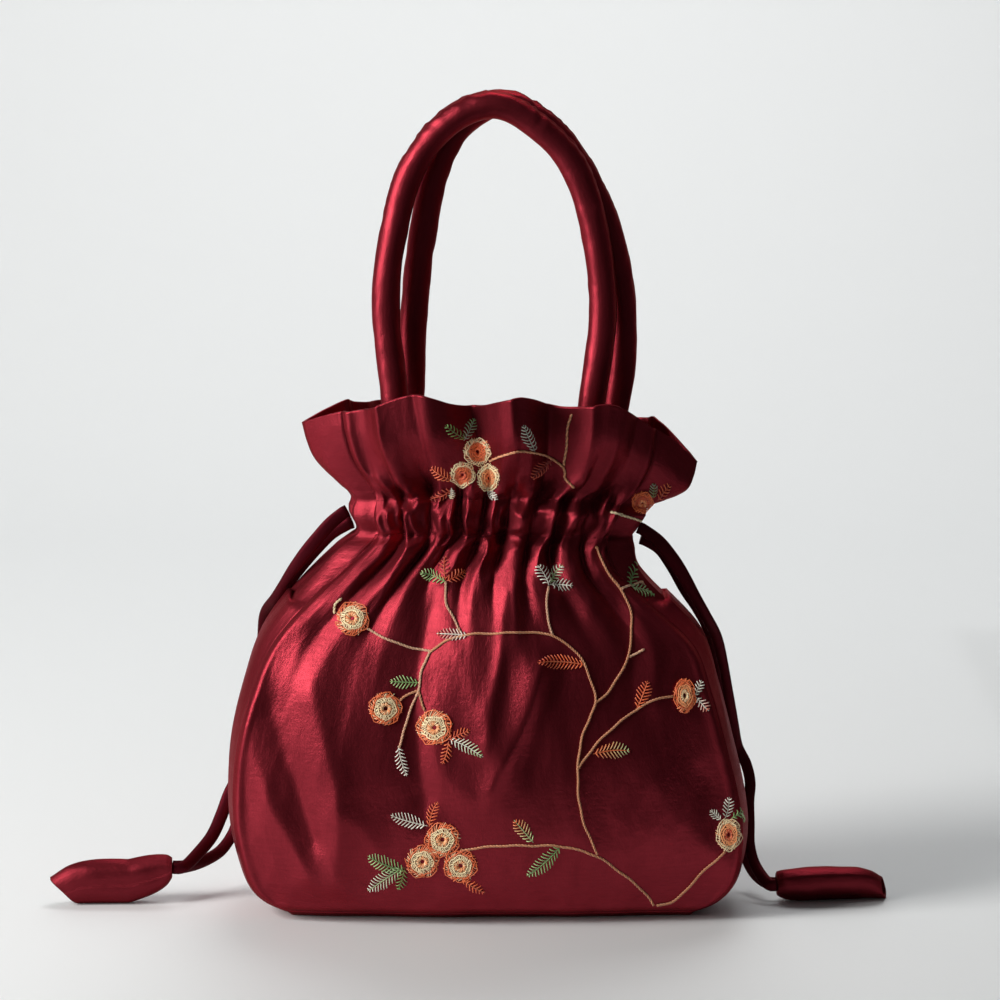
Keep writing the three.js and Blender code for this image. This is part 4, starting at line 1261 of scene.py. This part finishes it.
def lay_threads(sketch, front, gusset, thickness):
    """Lays a sketch on the cloth: each thread's points, the faces they lie on, its colour and its radius.

    A thread that passes over the seam keeps about its drawn length on the gusset.
    """
    tree, panel = surface_tree(front, gusset), surface_tree(front)
    panel_faces = (front.shape[0] - 1) * (front.shape[1] - 1)
    laid = []
    for path, lifts, colour, weight in sketch.threads:
        points, faces = [], []
        for (px, py), lift in zip(path, lifts):
            eye, way = picture_ray(px, py)
            hit, normal, face, _ = tree.ray_cast(eye, way)
            if hit is None:
                continue
            if face >= panel_faces:
                seam = panel.find_nearest(hit)[0]
                drawn = SEAM_TURN * math.hypot(hit.x - seam.x, hit.z - seam.z)
                gap = (hit - seam).length
                if gap > drawn:
                    hit, normal, face, _ = tree.find_nearest(seam + (hit - seam) * (drawn / gap))
            if normal.dot(way) > 0:
                normal = -normal
            points.append(np.array(hit + normal * (lift * thickness)))
            faces.append(face)
        if len(points) > 1:
            laid.append((np.array(points), np.array(faces), colour, thickness * weight / 2))
    return laid


def turned_threads(laid, front, back):
    """The same threads on the back panel, for those that lie wholly on the front one."""
    here = front[:-1, :-1].reshape(-1, 3) * MM
    there = back[:, ::-1][:-1, :-1].reshape(-1, 3) * MM
    return [
        (there[faces] + (points - here[faces]) * (-1, -1, 1), faces, colour, radius)
        for points, faces, colour, radius in laid
        if faces.max() < len(here)
    ]


def thread_tree():
    """Geometry nodes: round threads along a piece's edges, as thick as its points say."""
    found = bpy.data.node_groups.get("round_threads")
    if found:
        return found
    tree = bpy.data.node_groups.new("round_threads", "GeometryNodeTree")
    tree.interface.new_socket(name="Geometry", in_out="INPUT", socket_type="NodeSocketGeometry")
    sides = tree.interface.new_socket(name="Sides", in_out="INPUT", socket_type="NodeSocketInt")
    sides.default_value = THREAD_SIDES
    tree.interface.new_socket(name="Thread Material", in_out="INPUT", socket_type="NodeSocketMaterial")
    tree.interface.new_socket(name="Geometry", in_out="OUTPUT", socket_type="NodeSocketGeometry")
    nodes, links = tree.nodes, tree.links
    inputs = nodes.new("NodeGroupInput")
    outputs = nodes.new("NodeGroupOutput")
    curve = nodes.new("GeometryNodeMeshToCurve")
    links.new(inputs.outputs["Geometry"], curve.inputs["Mesh"])
    size = nodes.new("GeometryNodeInputNamedAttribute")
    size.data_type = "FLOAT"
    size.inputs["Name"].default_value = "thread_radius"
    radius = nodes.new("GeometryNodeSetCurveRadius")
    links.new(curve.outputs["Curve"], radius.inputs["Curve"])
    links.new(size.outputs["Attribute"], radius.inputs["Radius"])
    profile = nodes.new("GeometryNodeCurvePrimitiveCircle")
    profile.inputs["Radius"].default_value = 1.0
    links.new(inputs.outputs["Sides"], profile.inputs["Resolution"])
    skin = nodes.new("GeometryNodeCurveToMesh")
    skin.inputs["Fill Caps"].default_value = True
    links.new(radius.outputs["Curve"], skin.inputs["Curve"])
    links.new(profile.outputs["Curve"], skin.inputs["Profile Curve"])
    if "Scale" in skin.inputs:
        links.new(size.outputs["Attribute"], skin.inputs["Scale"])
    smooth = nodes.new("GeometryNodeSetShadeSmooth")
    links.new(skin.outputs["Mesh"], smooth.inputs["Geometry"])
    real = nodes.new("GeometryNodeRealizeInstances")
    links.new(smooth.outputs["Geometry"], real.inputs["Geometry"])
    dress = nodes.new("GeometryNodeSetMaterial")
    links.new(real.outputs["Geometry"], dress.inputs["Geometry"])
    links.new(inputs.outputs["Thread Material"], dress.inputs["Material"])
    links.new(dress.outputs["Geometry"], outputs.inputs["Geometry"])
    return tree


def set_input(modifier, name, value):
    """Sets a geometry nodes modifier's input by its socket's identifier."""
    for item in modifier.node_group.interface.items_tree:
        if item.item_type == "SOCKET" and item.in_out == "INPUT" and item.name == name:
            modifier[item.identifier] = value
            return
    raise RuntimeError(f"{modifier.node_group.name} has no input {name}")


def lines_mesh(name, lines):
    """A mesh of edges along lines of points in metres."""
    edges, base = [], 0
    for line in lines:
        edges += [(base + i, base + i + 1) for i in range(len(line) - 1)]
        base += len(line)
    mesh = bpy.data.meshes.new(name)
    mesh.from_pydata(np.concatenate(lines).tolist(), edges, [])
    return mesh


def made_along(name, mesh, tree, inputs):
    """The plain mesh that a geometry nodes tree makes along a mesh's edges."""
    holder = bpy.data.objects.new(name + "_lines", mesh)
    bpy.context.scene.collection.objects.link(holder)
    modifier = holder.modifiers.new("along", "NODES")
    modifier.node_group = tree
    for socket, value in inputs.items():
        set_input(modifier, socket, value)
    made = bpy.data.meshes.new_from_object(holder.evaluated_get(bpy.context.evaluated_depsgraph_get()))
    made.name = name
    bpy.data.objects.remove(holder)
    if not len(made.polygons):
        raise RuntimeError(f"{name} came out empty")
    return made


def threads_piece(name, laid, material):
    """A piece of round threads from their laid points."""
    mesh = lines_mesh(name, [points for points, *_ in laid])
    sizes, colours = [], []
    for points, _, colour, radius in laid:
        sizes += [radius] * len(points)
        colours += [(*colour, 1.0)] * len(points)
    radii = mesh.attributes.new("thread_radius", "FLOAT", "POINT")
    radii.data.foreach_set("value", np.array(sizes, dtype=np.float32))
    tint = mesh.attributes.new("thread_colour", "FLOAT_COLOR", "POINT")
    tint.data.foreach_set("color", np.array(colours, dtype=np.float32).ravel())
    made = made_along(name, mesh, thread_tree(), {"Sides": THREAD_SIDES, "Thread Material": material})
    return new_piece(name, made, material)


def stitch_tree():
    """Geometry nodes: stitches laid end to end along a piece's edges."""
    found = bpy.data.node_groups.get("running_stitches")
    if found:
        return found
    tree = bpy.data.node_groups.new("running_stitches", "GeometryNodeTree")
    tree.interface.new_socket(name="Geometry", in_out="INPUT", socket_type="NodeSocketGeometry")
    for name in ("Spacing", "Length", "Thickness"):
        tree.interface.new_socket(name=name, in_out="INPUT", socket_type="NodeSocketFloat")
    tree.interface.new_socket(name="Thread Material", in_out="INPUT", socket_type="NodeSocketMaterial")
    tree.interface.new_socket(name="Geometry", in_out="OUTPUT", socket_type="NodeSocketGeometry")
    nodes, links = tree.nodes, tree.links
    inputs = nodes.new("NodeGroupInput")
    outputs = nodes.new("NodeGroupOutput")
    curve = nodes.new("GeometryNodeMeshToCurve")
    links.new(inputs.outputs["Geometry"], curve.inputs["Mesh"])
    even = nodes.new("GeometryNodeResampleCurve")
    even.mode = "LENGTH"
    links.new(curve.outputs["Curve"], even.inputs["Curve"])
    links.new(inputs.outputs["Spacing"], even.inputs["Length"])
    grain = nodes.new("GeometryNodeMeshUVSphere")
    grain.inputs["Segments"].default_value = 6
    grain.inputs["Rings"].default_value = 5
    grain.inputs["Radius"].default_value = 0.5
    way = nodes.new("GeometryNodeInputTangent")
    turn = nodes.new("FunctionNodeAlignRotationToVector")
    turn.axis = "Z"
    links.new(way.outputs["Tangent"], turn.inputs["Vector"])
    size = nodes.new("ShaderNodeCombineXYZ")
    links.new(inputs.outputs["Thickness"], size.inputs["X"])
    links.new(inputs.outputs["Thickness"], size.inputs["Y"])
    links.new(inputs.outputs["Length"], size.inputs["Z"])
    place = nodes.new("GeometryNodeInstanceOnPoints")
    links.new(even.outputs["Curve"], place.inputs["Points"])
    links.new(grain.outputs["Mesh"], place.inputs["Instance"])
    links.new(turn.outputs["Rotation"], place.inputs["Rotation"])
    links.new(size.outputs["Vector"], place.inputs["Scale"])
    real = nodes.new("GeometryNodeRealizeInstances")
    links.new(place.outputs["Instances"], real.inputs["Geometry"])
    dress = nodes.new("GeometryNodeSetMaterial")
    links.new(real.outputs["Geometry"], dress.inputs["Geometry"])
    links.new(inputs.outputs["Thread Material"], dress.inputs["Material"])
    links.new(dress.outputs["Geometry"], outputs.inputs["Geometry"])
    return tree


def stitches_piece(name, lines, sizes, material):
    """A piece of running stitches along lines of points in metres."""
    made = made_along(name, lines_mesh(name, lines), stitch_tree(), {
        "Spacing": sizes.stitch * STITCH_SPACING,
        "Length": sizes.stitch,
        "Thickness": sizes.thread,
        "Thread Material": material,
    })
    made.shade_smooth()
    return new_piece(name, made, material)


# Operators


class EVENINGBAG_OT_stage(bpy.types.Operator):
    """Set up the camera, the soft studio light and the pale surface"""

    bl_idname = "evening_bag.stage"
    bl_label = "Stage"

    def execute(self, context):
        scene = context.scene
        light = scene.evening_bag_light
        scene.view_settings.view_transform = "Standard"
        self.place_camera(scene)
        self.place_light("key_light", (-1.35, -0.62, 0.78), (0.55, 1.3), light.key, (1.0, 0.985, 0.96))
        self.place_light("back_light", (0.15, 0.85, 1.6), (0.9, 0.9), light.fill, (1.0, 1.0, 1.0),
                         aim=(0, 1.3, 0.1))
        self.light_room(scene, light.surround)
        self.lay_floor(scene)
        self.place_card("dark_card_left", (-1.45, 0.5, 0.3), 1.05)
        self.place_card("dark_card_right", (1.2, -0.75, 0.7), 1.5)
        self.place_card("dark_card_front", (0.3, -2.6, 0.9), 2.4)
        self.place_card("dark_card_low", (-0.1, -1.18, 0.01), 2.06, aim=(-0.1, -1.18, 1))
        self.place_card("dark_card_low_right", (1.0, -0.1, 0.012), 1.45, aim=(1.0, -0.1, 1))
        return {"FINISHED"}

    def place_camera(self, scene):
        elevation = math.radians(VIEW_ELEVATION)
        camera = bpy.data.objects.new("camera", bpy.data.cameras.new("camera"))
        scene.collection.objects.link(camera)
        scene.camera = camera
        half = PICTURE_SIDE / 2
        across = (half - MIDDLE_PIXEL) * PIXEL + bag_shift()[0]
        front_foot = GUSSET_HALF_DEPTH * math.sin(elevation) / PIXEL
        up = (GROUND_PIXEL - half - front_foot + GROUND_TRIM_PIXELS) * PIXEL / math.cos(elevation)
        target = Vector((across * MM, 0.0, up * MM))
        back = Vector((0, -math.cos(elevation), math.sin(elevation)))
        camera.location = target + back * VIEW_DISTANCE
        camera.rotation_euler = (math.radians(90) - elevation, 0, 0)
        camera.data.sensor_width = SENSOR
        camera.data.lens = SENSOR * VIEW_DISTANCE / (PICTURE_SIDE * PIXEL * MM)
        camera.data.clip_end = 50

    def place_card(self, name, place, side, aim=(0, 0, 0.2)):
        """A dark card out of the picture that the satin's shaded side mirrors."""
        half = side / 2
        corners = np.array([(-half, -half, 0), (half, -half, 0), (half, half, 0), (-half, half, 0)])
        card = bpy.data.objects.new(name, bpy.data.meshes.new(name))
        turn = (Vector(aim) - Vector(place)).to_track_quat("Z", "Y").to_matrix()
        points = [tuple(turn @ Vector(corner) + Vector(place)) for corner in corners]
        card.data.from_pydata(points, [], [(0, 1, 2, 3)])
        bpy.context.scene.collection.objects.link(card)
        material = bpy.data.materials.get("dark_card") or bpy.data.materials.new("dark_card")
        material.use_nodes = True
        material.node_tree.nodes["Principled BSDF"].inputs["Base Color"].default_value = (0.01, 0.01, 0.01, 1)
        card.data.materials.append(material)
        card.visible_camera = False
        card.visible_diffuse = False
        card.visible_shadow = False

    def place_light(self, name, place, sides, power, colour, aim=(0, 0, 0.15)):
        data = bpy.data.lights.new(name, "AREA")
        data.energy = power
        data.shape = "RECTANGLE"
        data.size, data.size_y = sides
        data.color = colour
        lamp = bpy.data.objects.new(name, data)
        bpy.context.scene.collection.objects.link(lamp)
        lamp.location = place
        lamp.rotation_euler = (Vector(aim) - lamp.location).to_track_quat("-Z", "Y").to_euler()

    def light_room(self, scene, strength):
        world = bpy.data.worlds.new("pale_room")
        world.use_nodes = True
        background = world.node_tree.nodes["Background"]
        background.inputs["Color"].default_value = (0.93, 0.96, 0.97, 1)
        background.inputs["Strength"].default_value = strength
        scene.world = world

    def lay_floor(self, scene):
        sweep = np.concatenate([
            [(-FLOOR_REACH, 0.0), (0.9, 0.0)],
            [(0.9 + 0.7 * math.sin(a), 0.7 - 0.7 * math.cos(a)) for a in np.linspace(0.1, math.pi / 2, 12)],
            [(1.6, 3.4)],
        ])
        points = [(x, y, z) for y, z in sweep for x in (-FLOOR_REACH, FLOOR_REACH)]
        faces = [(2 * i, 2 * i + 1, 2 * i + 3, 2 * i + 2) for i in range(len(sweep) - 1)]
        mesh = mesh_of("surface", np.array(points), np.array(faces))
        floor = bpy.data.objects.new("surface", mesh)
        scene.collection.objects.link(floor)
        material = bpy.data.materials.new("pale_surface")
        material.use_nodes = True
        shader = material.node_tree.nodes["Principled BSDF"]
        shader.inputs["Base Color"].default_value = (*scene.evening_bag_colours.floor, 1)
        shader.inputs["Roughness"].default_value = 0.6
        self.open_from_behind(material.node_tree, shader)
        mesh.materials.append(material)

    def open_from_behind(self, tree, shader):
        """Lets a view from behind the backdrop look through it."""
        side = tree.nodes.new("ShaderNodeNewGeometry")
        clear = tree.nodes.new("ShaderNodeBsdfTransparent")
        mix = tree.nodes.new("ShaderNodeMixShader")
        tree.links.new(side.outputs["Backfacing"], mix.inputs[0])
        tree.links.new(shader.outputs[0], mix.inputs[1])
        tree.links.new(clear.outputs[0], mix.inputs[2])
        tree.links.new(mix.outputs[0], tree.nodes["Material Output"].inputs["Surface"])


class EVENINGBAG_OT_drawcords(bpy.types.Operator):
    """Make the four flat drawcord strands and the two tassels that they end in"""

    bl_idname = "evening_bag.drawcords"
    bl_label = "Drawcords"

    def execute(self, context):
        material = cord_satin_painted_shade()
        for side, name, direction, roll, slant in (
            (-1, "left_tassel", (-1, -0.05, 0), 0, 6),
            (1, "right_tassel", (1, 0.1, 0), 55, -2),
        ):
            hand = name.split("_")[0]
            ends = [np.array(CORD_ROUTES[f"{hand}_drawcord_{strand}"][-1]) for strand in "ab"]
            neck = sum(ends) / 2 + bag_shift() + np.array([side * 0.2, 0, 0])
            mesh = tassel_mesh("satin_" + name, neck, direction, roll, slant, 5 + side)
            new_piece("satin_" + name, mesh, tassel_satin_painted_shade())
            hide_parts(name)
        for i, name in enumerate(CORD_ROUTES):
            mesh, path = cord_mesh(name, 40 + 7 * i)
            cord = new_piece("satin_" + name, mesh, material)
            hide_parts(name)
        return {"FINISHED"}


class EVENINGBAG_OT_handles(bpy.types.Operator):
    """Make the two padded handles"""

    bl_idname = "evening_bag.handles"
    bl_label = "Handles"

    def execute(self, context):
        for name, route, side, seed in (
            ("front_handle", FRONT_HANDLE_ROUTE, -1, 61),
            ("back_handle", BACK_HANDLE_ROUTE, 1, 67),
        ):
            mesh = handle_mesh("satin_" + name, route, side, seed)
            handle = new_piece("satin_" + name, mesh, bag_satin())
            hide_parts(name)
        return {"FINISHED"}


class EVENINGBAG_OT_cloth(bpy.types.Operator):
    """Make the two gathered panels and the gusset"""

    bl_idname = "evening_bag.cloth"
    bl_label = "Cloth"

    def execute(self, context):
        sizes = context.scene.evening_bag_sizes
        front, back, gusset, rows = cloth_grids(sizes)
        across = panel_columns()
        for name, grid, turned in (("front_panel", front, False), ("back_panel", back, True)):
            normals = grid_normals(grid, turned)
            mesh = shell_mesh("satin_" + name, grid, normals, sizes.wall, turned)
            across_map, up_map = across * PANEL_MAP_HALF_WIDTH, rows / LAST_ROW * PANEL_MAP_HEIGHT
            flat = np.stack(np.meshgrid(across_map, up_map), -1).reshape(-1, 2)
            add_uv(mesh, np.concatenate([flat, flat]))
            panel = new_piece("satin_" + name, mesh, bag_satin())
            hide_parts(name)
        normals = grid_normals(gusset, False)
        mesh = shell_mesh("satin_gusset", gusset, normals, sizes.wall, False)
        across_map = np.linspace(0, GUSSET_MAP_WIDTH, gusset.shape[1])
        along_map = np.linspace(0, GUSSET_MAP_LENGTH, gusset.shape[0])
        flat = np.stack(np.meshgrid(across_map, along_map), -1).reshape(-1, 2)
        add_uv(mesh, np.concatenate([flat, flat]))
        strip = new_piece("satin_gusset", mesh, bag_satin())
        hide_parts("gusset")
        return {"FINISHED"}


class EVENINGBAG_OT_stitches(bpy.types.Operator):
    """Sew the two rows of stitches that make the drawcord's channel"""

    bl_idname = "evening_bag.stitches"
    bl_label = "Channel stitches"

    def execute(self, context):
        sizes = context.scene.evening_bag_sizes
        front, back, _, rows = cloth_grids(sizes)
        for name, grid, turned in (("front", front, False), ("back", back, True)):
            normals = grid_normals(grid, turned)
            lines = []
            for row in (LOWER_STITCH_ROW, UPPER_STITCH_ROW):
                at = int(np.argmin(np.abs(rows - row)))
                lines.append(grid[at, 4:-4] * MM + normals[at, 4:-4] * 0.3 * sizes.thread)
            stitches_piece(name + "_channel_stitches", lines, sizes, bag_satin())
        return {"FINISHED"}


class EVENINGBAG_OT_embroidery(bpy.types.Operator):
    """Embroider the vines, leaves and roses on both panels"""

    bl_idname = "evening_bag.embroidery"
    bl_label = "Embroidery"

    def execute(self, context):
        sizes = context.scene.evening_bag_sizes
        front, back, gusset, _ = cloth_grids(sizes)
        vines = Sketch(3)
        for colour, points in VINES:
            vines.vine(THREADS[colour], points)
        flowers = Sketch(4)
        for leaf in LEAVES:
            flowers.leaf(*leaf)
        for rose in ROSES:
            flowers.rose(*rose)
        material = thread_material()
        for name, sketch in (("vines", vines), ("flowers", flowers)):
            laid = lay_threads(sketch, front, gusset, sizes.thread)
            threads_piece("front_" + name, laid, material)
            threads_piece("back_" + name, turned_threads(laid, front, back), material)
        return {"FINISHED"}


class EVENINGBAG_PT_panel(bpy.types.Panel):
    """Lists the bag's pieces and its sizes"""

    bl_idname = "EVENINGBAG_PT_panel"
    bl_label = "Evening Bag"
    bl_space_type = "VIEW_3D"
    bl_region_type = "UI"
    bl_category = "Evening Bag"

    def draw(self, context):
        layout = self.layout
        for operator in OPERATORS:
            layout.operator(operator.bl_idname)
        scene = context.scene
        for group in (scene.evening_bag_sizes, scene.evening_bag_colours, scene.evening_bag_light):
            box = layout.box()
            for name in group.__annotations__:
                box.prop(group, name)


OPERATORS = (
    EVENINGBAG_OT_stage,
    EVENINGBAG_OT_drawcords,
    EVENINGBAG_OT_handles,
    EVENINGBAG_OT_cloth,
    EVENINGBAG_OT_stitches,
    EVENINGBAG_OT_embroidery,
)
CLASSES = (EveningBagSizes, EveningBagColours, EveningBagLight, *OPERATORS, EVENINGBAG_PT_panel)


def register():
    for cls in CLASSES:
        bpy.utils.register_class(cls)
    bpy.types.Scene.evening_bag_sizes = bpy.props.PointerProperty(type=EveningBagSizes)
    bpy.types.Scene.evening_bag_colours = bpy.props.PointerProperty(type=EveningBagColours)
    bpy.types.Scene.evening_bag_light = bpy.props.PointerProperty(type=EveningBagLight)


def unregister():
    del bpy.types.Scene.evening_bag_light
    del bpy.types.Scene.evening_bag_colours
    del bpy.types.Scene.evening_bag_sizes
    for cls in reversed(CLASSES):
        bpy.utils.unregister_class(cls)


def main():
    register()
    bpy.ops.evening_bag.stage()
    bpy.ops.evening_bag.drawcords()
    bpy.ops.evening_bag.handles()
    bpy.ops.evening_bag.cloth()
    bpy.ops.evening_bag.stitches()
    bpy.ops.evening_bag.embroidery()


if __name__ == "__main__":
    main()
